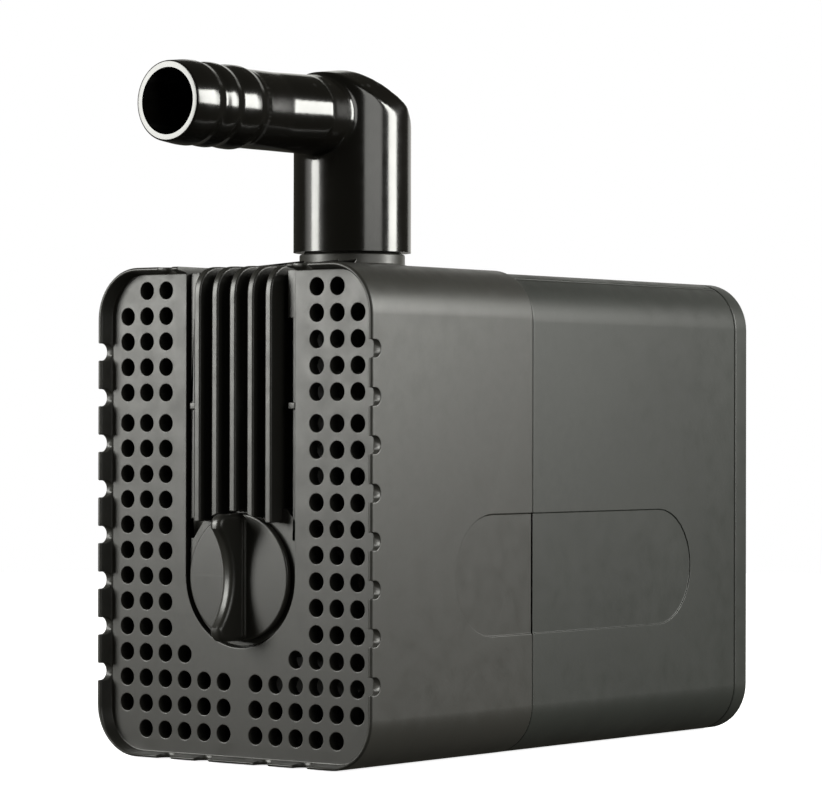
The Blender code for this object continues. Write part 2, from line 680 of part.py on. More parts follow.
def make_intake_cover():
    bridge_front = RIB_FRONT_Y + RIB_DEPTH
    bridge_top = BODY_HEIGHT - RIB_DEPTH
    cover = block("intake_cover", (-PLATE_HALF_WIDTH, bridge_front, AXIS_Z),
                  (PLATE_HALF_WIDTH, RIB_BACK_Y, bridge_top), INNER_BLACK)
    ribs = many("ribs", [rib_maker((i - (RIB_COUNT - 1) / 2) * RIB_PITCH) for i in range(RIB_COUNT)])
    rails = many("rails", [
        box_maker((min(side * RAIL_INNER_X, side * PLATE_HALF_WIDTH), PLATE_FRONT_Y, RAIL_BOTTOM_Z),
                  (max(side * RAIL_INNER_X, side * PLATE_HALF_WIDTH), RIB_BACK_Y,
                   BODY_HEIGHT - WALL / 2))
        for side in (-1, 1)])
    underside = block("bridge_underside",
                      (-PLATE_HALF_WIDTH - OVER, bridge_front + BRIDGE_THICKNESS, AXIS_Z - OVER),
                      (PLATE_HALF_WIDTH + OVER, RIB_BACK_Y + OVER, bridge_top - BRIDGE_THICKNESS))
    nose = block("rib_nose", (-BODY_HALF_WIDTH, RIB_FRONT_Y, 0.0),
                 (BODY_HALF_WIDTH, 20 * MM, BODY_HEIGHT), rounding=RIB_CORNER, along="X", steps=6)
    plate_back = PLATE_FRONT_Y + PLATE_THICKNESS
    plate = block("dial_plate", (-PLATE_HALF_WIDTH, PLATE_FRONT_Y, AXIS_Z),
                  (PLATE_HALF_WIDTH, plate_back + 0.6 * MM, PLATE_TOP_Z))
    plate_round = rod("dial_plate_round", PLATE_HALF_WIDTH, (0.0, PLATE_FRONT_Y, AXIS_Z),
                      PLATE_THICKNESS + 0.6 * MM, "Y", sides=32)
    tower_front = PANEL_FRONT_Y + PANEL_THICKNESS + GAP
    tower = rod("tower", TOWER_RADIUS, (0.0, tower_front, AXIS_Z),
                CHAMBER_FRONT_Y - GAP - tower_front - OVER, "Y", sides=32)
    flange = rod("chamber_flange", CHAMBER_RADIUS, (0.0, TOWER_BACK_Y, AXIS_Z),
                 CHAMBER_FRONT_Y - GAP - TOWER_BACK_Y, "Y", sides=32)
    well = rod("tower_hollow", TOWER_RADIUS - TOWER_WALL, (0.0, plate_back, AXIS_Z),
               TOWER_BACK_Y - plate_back, "Y", sides=32)
    spindle_hole = rod("spindle_hole", SPINDLE_RADIUS + GAP, (0.0, PLATE_FRONT_Y - OVER, AXIS_Z),
                       PLATE_THICKNESS + 2 * OVER, "Y", sides=24)
    dial_pocket = rod("dial_pocket", DIAL_RADIUS + GAP, (0.0, RIM_FRONT_Y, AXIS_Z),
                      PLATE_FRONT_Y - RIM_FRONT_Y, "Y", sides=32)
    inlet = washer("inlet", INLET_INNER_RADIUS, INLET_OUTER_RADIUS, (0.0, TOWER_BACK_Y - OVER, AXIS_Z),
                   CHAMBER_FRONT_Y - TOWER_BACK_Y + 2 * OVER, "Y", sides=32)
    spoke = many("spoke", [box_maker((-SPOKE_REACH, TOWER_BACK_Y, AXIS_Z - SPOKE_HALF_HEIGHT),
                                     (SPOKE_REACH, CHAMBER_FRONT_Y - GAP, AXIS_Z + SPOKE_HALF_HEIGHT))])
    bearing_seat = rod("bearing_seat", BEARING_SEAT_RADIUS, (0.0, TOWER_BACK_Y - OVER, AXIS_Z),
                       CHAMBER_FRONT_Y - TOWER_BACK_Y + 2 * OVER, "Y", sides=24)
    windows = many("tower_windows", window_makers(*TOWER_WINDOW))
    fuse(cover, ribs, rails)
    cut(cover, underside)
    keep_inside(cover, nose)
    fuse(cover, tower, plate, plate_round, flange)
    cut(cover, dial_pocket, well, spindle_hole, inlet)
    fuse(cover, spoke)
    cut(cover, bearing_seat, windows)
    return cover


def make_chamber_seal():
    return ring_of("chamber_seal", CHAMBER_RADIUS - CHAMBER_WALL - 1.0 * MM, 1.2 * MM,
                   (0.0, CHAMBER_FRONT_Y + 0.7 * MM, AXIS_Z), "Y", BLACK_RUBBER, sides=32)


# ------------------------------------------------------------ flow control

def make_flow_dial():
    thickness = DIAL_BACK_Y - DIAL_FRONT_Y
    dial = rod("flow_dial", DIAL_RADIUS, (0.0, DIAL_FRONT_Y, AXIS_Z), thickness, "Y", DIAL_BLACK,
               sides=32)
    set_origin(dial, (0.0, DIAL_FRONT_Y, AXIS_Z))
    reach = DIAL_RADIUS - FIN_MARGIN
    fin = block("fin", (-FIN_THICKNESS / 2, FIN_END_Y, AXIS_Z - reach),
                (FIN_THICKNESS / 2, DIAL_FRONT_Y + GAP, AXIS_Z + reach))
    end_rounding = block("fin_outline", (-FIN_THICKNESS, FIN_END_Y, AXIS_Z - reach),
                         (FIN_THICKNESS, 0.0, AXIS_Z + reach), rounding=FIN_CORNER, along="X", steps=4)
    depth = FIN_MIDDLE_Y - FIN_END_Y
    scoop_radius = (FIN_SCOOP_REACH ** 2 + depth ** 2) / (2 * depth)
    scoop = rod("fin_scoop", scoop_radius, (-FIN_THICKNESS, FIN_MIDDLE_Y - scoop_radius, AXIS_Z),
                2 * FIN_THICKNESS, "X", sides=64)
    spindle = rod("spindle", SPINDLE_RADIUS, (0.0, DIAL_BACK_Y - 0.2 * MM, AXIS_Z),
                  SPINDLE_LENGTH + 0.2 * MM, "Y", sides=24)
    groove = washer("clip_groove", SPINDLE_RADIUS - CLIP_GROOVE_DEPTH, SPINDLE_RADIUS + OVER,
                    (0.0, PLATE_FRONT_Y + PLATE_THICKNESS + GAP / 2, AXIS_Z), CLIP_GROOVE_WIDTH, "Y",
                    sides=24)
    keep_inside(fin, end_rounding)
    cut(fin, scoop)
    fuse(dial, fin, spindle)
    cut(dial, groove)
    return dial


def make_dial_clip():
    start = PLATE_FRONT_Y + PLATE_THICKNESS + GAP
    clip = washer("dial_clip", SPINDLE_RADIUS - CLIP_GROOVE_DEPTH + 0.25 * MM, CLIP_OUTER_RADIUS,
                  (0.0, start, AXIS_Z), CLIP_THICKNESS, "Y", SPRING_STEEL, sides=24)
    mouth = block("clip_mouth", (-CLIP_MOUTH_HALF_WIDTH, start - OVER, AXIS_Z - CLIP_OUTER_RADIUS - OVER),
                  (CLIP_MOUTH_HALF_WIDTH, start + 2 * OVER, AXIS_Z - 1.0 * MM))
    return cut(clip, mouth)


def make_dial_shutter():
    front = PLATE_FRONT_Y + PLATE_THICKNESS + 1.25 * MM
    length = SHUTTER_BACK_Y - front
    shutter = rod("dial_shutter", SHUTTER_RADIUS, (0.0, front, AXIS_Z), length, "Y",
                  NATURAL_PLASTIC, sides=32)
    set_origin(shutter, (0.0, front, AXIS_Z))
    hollow = rod("shutter_hollow", SHUTTER_RADIUS - SHUTTER_WALL,
                 (0.0, front + SHUTTER_WALL, AXIS_Z), length, "Y", sides=32)
    hub_hole = rod("shutter_hub_hole", SPINDLE_RADIUS + GAP, (0.0, front - OVER, AXIS_Z), 5 * MM, "Y",
                   sides=24)
    windows = many("shutter_windows", window_makers(*SHUTTER_WINDOW))
    return cut(shutter, hollow, hub_hole, windows)


# ------------------------------------------------------------------- rotor

def make_impeller():
    back_y = CHAMBER_BACK_Y - CHAMBER_WALL - 0.8 * MM
    disc_front = back_y - IMPELLER_DISC
    impeller = rod("impeller", IMPELLER_RADIUS, (0.0, disc_front, AXIS_Z), IMPELLER_DISC, "Y",
                   NATURAL_PLASTIC, sides=32)
    set_origin(impeller, (0.0, disc_front, AXIS_Z))
    hub = rod("impeller_hub", IMPELLER_HUB_RADIUS, (0.0, IMPELLER_FRONT_Y, AXIS_Z),
              back_y - IMPELLER_FRONT_Y, "Y", sides=24)
    blades = []
    for i in range(IMPELLER_BLADES):
        blade = block(f"blade_{i}", (IMPELLER_BORE + 0.5 * MM, BLADE_FRONT_Y, -BLADE_THICKNESS / 2),
                      (IMPELLER_RADIUS - 0.3 * MM, disc_front + 0.4 * MM, BLADE_THICKNESS / 2))
        blade.matrix_world = (Matrix.Translation((0.0, 0.0, AXIS_Z))
                              @ Matrix.Rotation(2 * pi * i / IMPELLER_BLADES, 4, "Y"))
        blades.append(blade)
    bore = rod("impeller_bore", IMPELLER_BORE, (0.0, IMPELLER_FRONT_Y - OVER, AXIS_Z),
               back_y - IMPELLER_FRONT_Y + 2 * OVER, "Y", sides=24)
    fuse(impeller, hub, *blades)
    cut(impeller, bore)
    return impeller


def make_rotor_sleeve():
    """Hub that runs on the shaft and joins impeller and magnet."""
    end = MAGNET_BACK_Y + 0.8 * MM
    return washer("rotor_sleeve", SHAFT_RADIUS + RUNNING_GAP, SLEEVE_RADIUS,
                  (0.0, IMPELLER_FRONT_Y, AXIS_Z), end - IMPELLER_FRONT_Y, "Y", NATURAL_PLASTIC)


def make_rotor_magnet():
    return washer("rotor_magnet", MAGNET_BORE, MAGNET_RADIUS, (0.0, MAGNET_FRONT_Y, AXIS_Z),
                  MAGNET_BACK_Y - MAGNET_FRONT_Y, "Y", FERRITE, sides=32)


def make_shaft():
    return rod("shaft", SHAFT_RADIUS, (0.0, SHAFT_FRONT_Y, AXIS_Z), SHAFT_BACK_Y - SHAFT_FRONT_Y,
               "Y", CERAMIC, sides=32)


def make_bearings():
    front = washer("front_bearing", SHAFT_RADIUS + GAP, 2.6 * MM, (0.0, TOWER_BACK_Y - 0.6 * MM, AXIS_Z),
                   3.0 * MM, "Y", BLACK_RUBBER, sides=24)
    rear = washer("rear_bearing", SHAFT_RADIUS + GAP, 3.6 * MM, (0.0, 24.0 * MM, AXIS_Z),
                  3.4 * MM, "Y", BLACK_RUBBER, sides=24)
    return front, rear


def make_washers():
    front = washer("front_washer", SHAFT_RADIUS + WASHER_GAP, WASHER_RADIUS, (0.0, -28.6 * MM, AXIS_Z),
                   0.8 * MM, "Y", CERAMIC, sides=24)
    rear = washer("rear_washer", SHAFT_RADIUS + WASHER_GAP, WASHER_RADIUS, (0.0, 23.05 * MM, AXIS_Z),
                  0.7 * MM, "Y", CERAMIC, sides=24)
    return front, rear


def make_rotor_well():
    """A cup open to the front, with a flange that rests on the housing's front wall."""
    flange_front = HOUSING_FRONT_Y - GAP - WELL_WALL
    flange_back = HOUSING_FRONT_Y - GAP
    outer = WELL_INNER_RADIUS + WELL_WALL
    floor = WELL_BACK_Y - WELL_WALL
    profile = [
        (0.0, WELL_BACK_Y),
        (outer - WELL_CORNER, WELL_BACK_Y),
        (outer, WELL_BACK_Y - WELL_CORNER),
        (outer, flange_back),
        (outer + WELL_FLANGE, flange_back),
        (outer + WELL_FLANGE, flange_front),
        (WELL_INNER_RADIUS, flange_front),
        (WELL_INNER_RADIUS, BEARING_POCKET_Y),
        (BEARING_POCKET_RADIUS, BEARING_POCKET_Y),
        (BEARING_POCKET_RADIUS, floor),
        (0.0, floor),
    ]
    return turned("rotor_well", profile, (0.0, 0.0, AXIS_Z), "Y", INNER_BLACK, sides=32, closed=False)


# ------------------------------------------------------------------ stator

def make_stator_core():
    """U-shaped stack: pole shoes round the well, legs up through the coils, a yoke on top."""
    core = block("stator_core", (-CORE_HALF_WIDTH, CORE_FRONT_Y, CORE_BOTTOM_Z),
                 (CORE_HALF_WIDTH, CORE_BACK_Y, POLE_TOP_Z - 1.0 * MM), LAMINATED_STEEL,
                 rounding=2.0 * MM, steps=2)
    legs = [block(f"core_leg_{i}", (min(side * LEG_INNER_X, side * LEG_OUTER_X), CORE_FRONT_Y,
                                    AXIS_Z),
                  (max(side * LEG_INNER_X, side * LEG_OUTER_X), CORE_BACK_Y, CORE_TOP_Z - 1.0 * MM))
            for i, side in enumerate((-1, 1))]
    yoke = block("core_yoke", (-LEG_OUTER_X - YOKE_OVERHANG, CORE_FRONT_Y, COIL_TOP_Z + OVER),
                 (LEG_OUTER_X + YOKE_OVERHANG, CORE_BACK_Y, CORE_TOP_Z))
    bore = rod("core_bore", WELL_INNER_RADIUS + WELL_WALL + GAP, (0.0, CORE_FRONT_Y - OVER, AXIS_Z),
               CORE_BACK_Y - CORE_FRONT_Y + 2 * OVER, "Y", sides=32)
    split = block("core_split", (-POLE_GAP_HALF, CORE_FRONT_Y - OVER, CORE_BOTTOM_Z - OVER),
                  (POLE_GAP_HALF, CORE_BACK_Y + OVER, POLE_TOP_Z + OVER))
    fuse(core, *legs, yoke)
    cut(core, bore, split)
    return core


def coil_box(side, grow):
    """Low and high corners of a leg's cross-section, grown on all sides."""
    centre = side * (LEG_INNER_X + LEG_OUTER_X) / 2
    half = (LEG_OUTER_X - LEG_INNER_X) / 2 + grow
    return (centre - half, CORE_FRONT_Y - grow), (centre + half, CORE_BACK_Y + grow)


def make_coil(side, word):
    low, high = coil_box(side, GAP + BOBBIN_WALL)
    bobbin = block(f"bobbin_{word}", (*low, COIL_BOTTOM_Z), (*high, COIL_TOP_Z), NATURAL_PLASTIC)
    flange_grow = GAP + BOBBIN_WALL + GAP + WINDING_THICKNESS + 0.2 * MM
    low, high = coil_box(side, flange_grow)
    for i, height in enumerate((COIL_BOTTOM_Z, COIL_TOP_Z - FLANGE_THICKNESS)):
        fuse(bobbin, block(f"bobbin_{word}_flange_{i}", (*low, height),
                           (*high, height + FLANGE_THICKNESS), rounding=1.5 * MM, along="Z", steps=2))
    low, high = coil_box(side, GAP)
    cut(bobbin, block(f"bobbin_{word}_hole", (*low, COIL_BOTTOM_Z - OVER), (*high, COIL_TOP_Z + OVER)))

    winding_low = COIL_BOTTOM_Z + FLANGE_THICKNESS + GAP
    winding_high = COIL_TOP_Z - FLANGE_THICKNESS - GAP
    low, high = coil_box(side, GAP + BOBBIN_WALL + GAP + WINDING_THICKNESS)
    winding = block(f"winding_{word}", (*low, winding_low), (*high, winding_high),
                    ENAMELLED_COPPER, rounding=4.0 * MM, along="Z", steps=4)
    low, high = coil_box(side, GAP + BOBBIN_WALL + GAP)
    cut(winding, block(f"winding_{word}_hole", (*low, winding_low - OVER),
                       (*high, winding_high + OVER), rounding=0.8 * MM, along="Z", steps=2))


def make_thermal_cutout():
    back = CORE_BACK_Y + GAP + BOBBIN_WALL + GAP + WINDING_THICKNESS + GAP
    return block("thermal_cutout", (-3.2 * MM, back, 48.5 * MM), (3.2 * MM, back + 3.2 * MM, 59.5 * MM),
                 CERAMIC, rounding=1.0 * MM, along="Z", steps=2)


def make_potting_slab():
    slab = body_block("potting_slab", POTTING_FRONT_Y, POTTING_BACK_Y, HOUSING_WALL + GAP, HOUSING_HEIGHT,
                      POTTING_RESIN)
    passage = block("potting_passage",
                    (-PASSAGE_HALF_WIDTH, POTTING_FRONT_Y - OVER, GLAND_Z - PASSAGE_HALF_HEIGHT),
                    (PASSAGE_HALF_WIDTH, POTTING_BACK_Y + OVER, GLAND_Z + PASSAGE_HALF_HEIGHT),
                    rounding=1.5 * MM, steps=2)
    return cut(slab, passage)


def smooth_route(points, per_span=4):
    """Catmull-Rom points through the given ones."""
    points = [Vector(p) for p in points]
    ends = [2 * points[0] - points[1], *points, 2 * points[-1] - points[-2]]
    route = []
    for i in range(1, len(ends) - 2):
        a, b, c, d = ends[i - 1:i + 3]
        for k in range(per_span):
            t = k / per_span
            route.append(0.5 * (2 * b + (c - a) * t + (2 * a - 5 * b + 4 * c - d) * t ** 2
                                + (3 * b - a - 3 * c + d) * t ** 3))
    route.append(points[-1])
    return route


def make_lead(name, points, finish):
    """An insulated lead between a winding and the gland's inner mouth."""
    curve = bpy.data.curves.new(name, "CURVE")
    curve.dimensions = "3D"
    curve.bevel_depth = LEAD_RADIUS
    curve.bevel_resolution = 1
    curve.use_fill_caps = True
    route = smooth_route(points)
    spline = curve.splines.new("POLY")
    spline.points.add(len(route) - 1)
    for point, place in zip(spline.points, route):
        point.co = (*place, 1.0)
    made = bpy.data.objects.new(name, curve)
    PARTS.objects.link(made)
    curve.materials.append(finish)
    return made


def make_leads():
    start_y = CORE_BACK_Y + GAP + BOBBIN_WALL + GAP + WINDING_THICKNESS + GAP + 0.9 * MM
    end_y = CAP_FRONT_Y - GLAND_SEAT - GAP
    middle_y = (POTTING_FRONT_Y + POTTING_BACK_Y) / 2
    for name, side, finish in (("lead_live", 1, BROWN_INSULATION), ("lead_neutral", -1, BLUE_INSULATION)):
        make_lead(name, [
            (side * 11.0 * MM, start_y, 50.0 * MM),
            (side * 9.0 * MM, start_y + 1.2 * MM, 56.0 * MM),
            (side * 3.6 * MM, POTTING_FRONT_Y - 0.5 * MM, GLAND_Z),
            (side * 3.2 * MM, middle_y, GLAND_Z),
            (side * 1.3 * MM, end_y, GLAND_Z - 0.8 * MM),
        ], finish)
    make_lead("lead_earth", [
        (0.0, CORE_BACK_Y + GAP + 1.2 * MM, CORE_TOP_Z - 3.5 * MM),
        (0.0, start_y - 0.5 * MM, CORE_TOP_Z - 4.5 * MM),
        (0.0, POTTING_FRONT_Y - 1.5 * MM, GLAND_Z + 2.0 * MM),
        (0.0, middle_y, GLAND_Z + 0.6 * MM),
        (0.0, end_y, GLAND_Z + 1.5 * MM),
    ], GREEN_INSULATION)


# -------------------------------------------------------------- the object

make_front_cover()
make_motor_housing()
make_rear_cap()
make_cable_gland()
make_pump_chamber()
make_outlet_elbow()
make_outlet_o_ring()
make_intake_cover()
make_chamber_seal()
make_flow_dial()
make_dial_clip()
make_dial_shutter()
make_impeller()
make_rotor_sleeve()
make_rotor_magnet()
make_shaft()
make_bearings()
make_washers()
make_rotor_well()
make_stator_core()
make_coil(-1, "left")
make_coil(1, "right")
make_thermal_cutout()
make_potting_slab()
make_leads()
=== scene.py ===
"""Fountain submersible pump: the detailed visual model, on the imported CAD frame.

Lengths are in metres. The strainer faces -Y, the label side faces +X, and +Z is up.
"""
import json
from math import cos, pi, radians, sin

import bmesh
import bpy
from mathutils import Matrix, Vector


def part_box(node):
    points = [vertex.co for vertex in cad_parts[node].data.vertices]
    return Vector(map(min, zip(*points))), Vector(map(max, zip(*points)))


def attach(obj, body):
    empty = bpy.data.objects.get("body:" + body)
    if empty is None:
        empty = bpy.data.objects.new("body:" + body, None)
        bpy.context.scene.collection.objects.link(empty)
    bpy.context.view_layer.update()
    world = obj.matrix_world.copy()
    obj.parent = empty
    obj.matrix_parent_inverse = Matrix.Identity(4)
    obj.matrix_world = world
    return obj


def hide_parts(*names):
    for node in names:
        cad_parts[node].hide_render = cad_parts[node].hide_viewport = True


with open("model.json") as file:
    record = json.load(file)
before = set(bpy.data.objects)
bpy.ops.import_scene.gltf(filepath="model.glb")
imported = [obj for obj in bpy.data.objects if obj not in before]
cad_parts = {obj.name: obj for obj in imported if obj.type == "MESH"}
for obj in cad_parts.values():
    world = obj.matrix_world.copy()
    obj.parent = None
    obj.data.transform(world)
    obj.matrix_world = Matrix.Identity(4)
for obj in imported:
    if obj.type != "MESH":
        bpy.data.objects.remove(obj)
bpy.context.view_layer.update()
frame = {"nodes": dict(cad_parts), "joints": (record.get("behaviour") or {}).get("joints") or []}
NODES = frame["nodes"]
JOINT_PLACE = {joint["name"]: joint.get("pos_m") for joint in frame["joints"]}

MM = 0.001
OVER = 1.0 * MM                    # how far a cutter reaches past what it cuts
GAP = 0.3 * MM
SHARP_ANGLE = 40.0                 # degrees; a sharper corner keeps its edge in the shading

# ------------------------------------------------------- places from the CAD

COVER_LOW, COVER_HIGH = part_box("front_cover")
_, HOUSING_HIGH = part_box("motor_housing")
_, CAP_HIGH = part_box("rear_cap")
ELBOW_LOW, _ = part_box("outlet_elbow")
DIAL_LOW, DIAL_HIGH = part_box("flow_dial")
GUARD_LOW, GUARD_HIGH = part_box("intake_cover")
GLAND_LOW, GLAND_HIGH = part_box("cable_gland")

AXIS_Z = JOINT_PLACE["dial_turn"][2]
OUTLET_Y = JOINT_PLACE["elbow_swivel"][1]
GLAND_Z = (GLAND_LOW.z + GLAND_HIGH.z) / 2

# Body
HALF_WIDTH = COVER_HIGH.x
RIM_Y = COVER_LOW.y
PANEL_Y = RIM_Y + 2.2 * MM
PANEL_BACK_Y = PANEL_Y + 2.0 * MM
COVER_BACK_Y = COVER_HIGH.y
COVER_TOP = COVER_HIGH.z
WALL = 1.9 * MM
RIM_LIP = 0.85 * MM                # the rim's thickness at its front, and where it meets the panel
RIM_FOOT = 1.25 * MM
RIM_BOTTOM = 0.6                   # the rim is thinner than that along the bottom and the top
RIM_TOP = 0.75
CORNER = 8.0 * MM
HOUSING_HALF = HOUSING_HIGH.x
SEAM = 0.09 * MM
HOUSING_FRONT_Y = COVER_BACK_Y + SEAM
HOUSING_BACK_Y = HOUSING_HIGH.y
HOUSING_TOP = HOUSING_HIGH.z
CAP_FRONT_Y = HOUSING_BACK_Y + SEAM
CAP_BACK_Y = CAP_HIGH.y

# Strainer holes and rim notches
HOLE_RADIUS = 1.35 * MM
HOLE_PITCH = 4.0 * MM
FIRST_COLUMN_X = 3.21 * MM
LOWER_ROWS_TOP_Z = 52.3 * MM
UPPER_ROWS_BOTTOM_Z = 57.09 * MM
NOTCH_RADIUS = 1.35 * MM
NOTCH_DEPTH = 2.15 * MM
SLOT_HALF = 10.95 * MM

# Label field
LABEL_LENGTH = 65.5 * MM
LABEL_HEIGHT = 19.0 * MM
LABEL_Y = 1.4 * MM
LABEL_Z = 28.7 * MM
LABEL_DEPTH = 0.3 * MM

# Ribs and dial plate
RIB_PITCH = 3.58 * MM
RIB_HALF = 0.65 * MM
RIB_Y = GUARD_LOW.y
RIB_BOTTOM_Z = 34.5 * MM
BRIDGE_Y = RIB_Y + 5.0 * MM
BRIDGE_TOP_Z = GUARD_HIGH.z - 5.0 * MM
BRIDGE_THICKNESS = 1.6 * MM
GUARD_BACK_Y = -31.5 * MM
PLATE_Y = -49.25 * MM
PLATE_BACK_Y = PLATE_Y + 2.0 * MM
PLATE_HALF = 10.7 * MM
PLATE_TOP_Z = 35.9 * MM            # the dial plate's top edge in the CAD
PLATE_CREST_Z = 39.27 * MM         # and here, where it follows the photograph
PLATE_BEVEL = 2.0 * MM
RIB_FOOT_Z = 37.13 * MM            # the ribs also end higher than in the CAD
RAIL_SPAN = (8.9, 10.7)            # from the middle, in mm: rail, strip and nub
STRIP_SPAN = (9.9, 10.7)
NUB_SPAN = (9.25, 10.6)
WINDOW_SPAN = (6, 20)
WELL_END_Y = -31.6 * MM            # where the inlet's well ends and its spokes begin
FIN_HALF = 1.15 * MM
FIN_TIP_RADIUS = 1.7 * MM
DIAL_RADIUS = DIAL_HIGH.x
DIAL_FRONT_Y = -50.4 * MM
DIAL_BACK_Y = -49.55 * MM
SCOOP_REACH = 7.6 * MM             # half the length and the depth of the scoop in the fin
SCOOP_DEPTH = 3.0 * MM
SCOOP_RADIUS = (SCOOP_REACH ** 2 + SCOOP_DEPTH ** 2) / (2 * SCOOP_DEPTH)

# Chamber and outlet
CHAMBER_RADIUS = 20.6 * MM
CHAMBER_FRONT_Y = -29.0 * MM
CHAMBER_BACK_Y = -13.4 * MM
NECK_RADIUS = 8.45 * MM
SPIGOT_RADIUS = 7.6 * MM
SPIGOT_TOP_Z = 90.0 * MM
OUTLET_BORE = 5.5 * MM
ELBOW_RADIUS = 9.42 * MM
ELBOW_BOTTOM_Z = ELBOW_LOW.z
ARCH_RADIUS = 9.26 * MM
ARCH_Z = 99.75 * MM
ARCH_TILT = 7.0                    # degrees, rising towards the back
CHAMFER_Z = 105.5 * MM
CHAMFER_TILT = 41.3                # degrees
BARB_Z = 100.9 * MM
BARB_BORE = 5.1 * MM
BARB_JOIN = 27.4 * MM              # in front of the outlet's axis, where the ridges begin
HOSE_TUBE_RADIUS = 6.12 * MM
RISE_START = 17.4 * MM             # in front of the outlet's axis, where its top begins to rise
FLARE_START = 21.6 * MM            # the hose tube widens sideways from here to FLARE_END
FLARE_END = 13.4 * MM
FLARE_RADIUS = 7.4 * MM
RISE_SLOPE = 0.055
ELBOW_VOXEL = 0.24 * MM
ELBOW_PASSES = 26
TRUE_TUBE_Z = 91.0 * MM            # below this the tube is exactly round
TRUE_HOSE_AHEAD = 21.0 * MM        # beyond this the hose tube is exactly round


# -------------------------------------------------------------- the camera

def make_camera():
    azimuth, pitch, roll = radians(37.654189), radians(-0.361030), radians(0.103006)
    right = Vector((cos(azimuth), sin(azimuth), 0.0))
    ahead = Vector((-sin(azimuth), cos(azimuth), 0.0))
    up = Vector((0.0, 0.0, 1.0))
    look = ahead * cos(pitch) - up * sin(pitch)
    rise = up * cos(pitch) + ahead * sin(pitch)
    side = right * cos(roll) + rise * sin(roll)
    top = rise * cos(roll) - right * sin(roll)
    data = bpy.data.cameras.new("camera")
    data.sensor_width = 36.0
    data.lens = 161.977
    data.clip_start = 0.01
    data.clip_end = 50.0
    made = bpy.data.objects.new("camera", data)
    bpy.context.scene.collection.objects.link(made)
    place = Matrix.Identity(4)
    for column, axis in enumerate((side, top, -look, Vector((0.369252, -0.485375, 0.052356)))):
        for row in range(3):
            place[row][column] = axis[row]
    made.matrix_world = place
    bpy.context.scene.camera = made


make_camera()


# ------------------------------------------------------------ shape helpers

AXIS_TURN = {"X": Matrix.Rotation(radians(90.0), 4, "Y"),
             "Y": Matrix.Rotation(radians(-90.0), 4, "X"),
             "Z": Matrix.Identity(4)}


def add_object(name, shape):
    mesh = bpy.data.meshes.new(name)
    bmesh.ops.recalc_face_normals(shape, faces=shape.faces)
    shape.to_mesh(mesh)
    shape.free()
    mesh.shade_smooth()
    made = bpy.data.objects.new(name, mesh)
    bpy.context.scene.collection.objects.link(made)
    return made


def bridge(shape, near, far):
    """Faces between two rings. A ring of one point makes a fan."""
    count = max(len(near), len(far))
    for k in range(count):
        n = (k + 1) % count
        corners = [near[k % len(near)], near[n % len(near)], far[n % len(far)], far[k % len(far)]]
        corners = list(dict.fromkeys(corners))
        if len(corners) > 2:
            shape.faces.new(corners)


def softened(points, radius, steps=3, closed=True):
    """The same outline with its corners rounded. The radius may be one number or one a corner."""
    points = [Vector(p) for p in points]
    count = len(points)
    out = []
    for i, here in enumerate(points):
        reach = radius[i] if isinstance(radius, (list, tuple)) else radius
        if (not closed and i in (0, count - 1)) or reach <= 0.0:
            out.append(here)
            continue
        back = points[i - 1] - here
        on = points[(i + 1) % count] - here
        reach = min(reach, 0.48 * back.length, 0.48 * on.length)
        start = here + back.normalized() * reach
        end = here + on.normalized() * reach
        for k in range(steps + 1):
            t = k / steps
            out.append((1 - t) ** 2 * start + 2 * t * (1 - t) * here + t * t * end)
    return out


def rounded_outline(half_width, low, high, radius, steps=14):
    """A rounded rectangle in X and Z with true arcs, counterclockwise."""
    corners = [(half_width - radius, low + radius, -90.0), (half_width - radius, high - radius, 0.0),
               (-half_width + radius, high - radius, 90.0), (-half_width + radius, low + radius, 180.0)]
    out = []
    for u, v, start in corners:
        for k in range(steps + 1):
            angle = radians(start + 90.0 * k / steps)
            out.append(Vector((u + radius * cos(angle), v + radius * sin(angle))))
    return out


def inset(outline, amount):
    """The outline moved inwards, for a counterclockwise one."""
    count = len(outline)
    out = []
    for i, here in enumerate(outline):
        first = (here - outline[i - 1]).normalized()
        second = (outline[(i + 1) % count] - here).normalized()
        first = Vector((-first.y, first.x))
        second = Vector((-second.y, second.x))
        out.append(here + (first + second) * (amount / max(0.3, 1.0 + first.dot(second))))
    return out


def place_point(point, along, height):
    if along == "X":
        return Vector((height, point.x, point.y))
    if along == "Y":
        return Vector((point.x, height, point.y))
    return Vector((point.x, point.y, height))


def prism(name, outline, along, start, end, rims=(0.0, 0.0), steps=4):
    """An outline pushed along an axis, with both end edges rounded by their rims."""
    area = sum(a.x * b.y - b.x * a.y for a, b in zip(outline, outline[1:] + outline[:1]))
    if area < 0.0:
        outline = outline[::-1]
    levels = []
    if rims[0] > 0.0:
        for k in range(steps + 1):
            angle = pi / 2 * k / steps
            levels.append((rims[0] * (1 - sin(angle)), start + rims[0] * (1 - cos(angle))))
    else:
        levels.append((0.0, start))
    if rims[1] > 0.0:
        for k in range(steps + 1):
            angle = pi / 2 * (1 - k / steps)
            levels.append((rims[1] * (1 - sin(angle)), end - rims[1] * (1 - cos(angle))))
    else:
        levels.append((0.0, end))
    shape = bmesh.new()
    rings = [[shape.verts.new(place_point(p, along, height)) for p in inset(outline, amount)]
             for amount, height in levels]
    for near, far in zip(rings, rings[1:]):
        bridge(shape, near, far)
    shape.faces.new(rings[0])
    shape.faces.new(rings[-1])
    return add_object(name, shape)


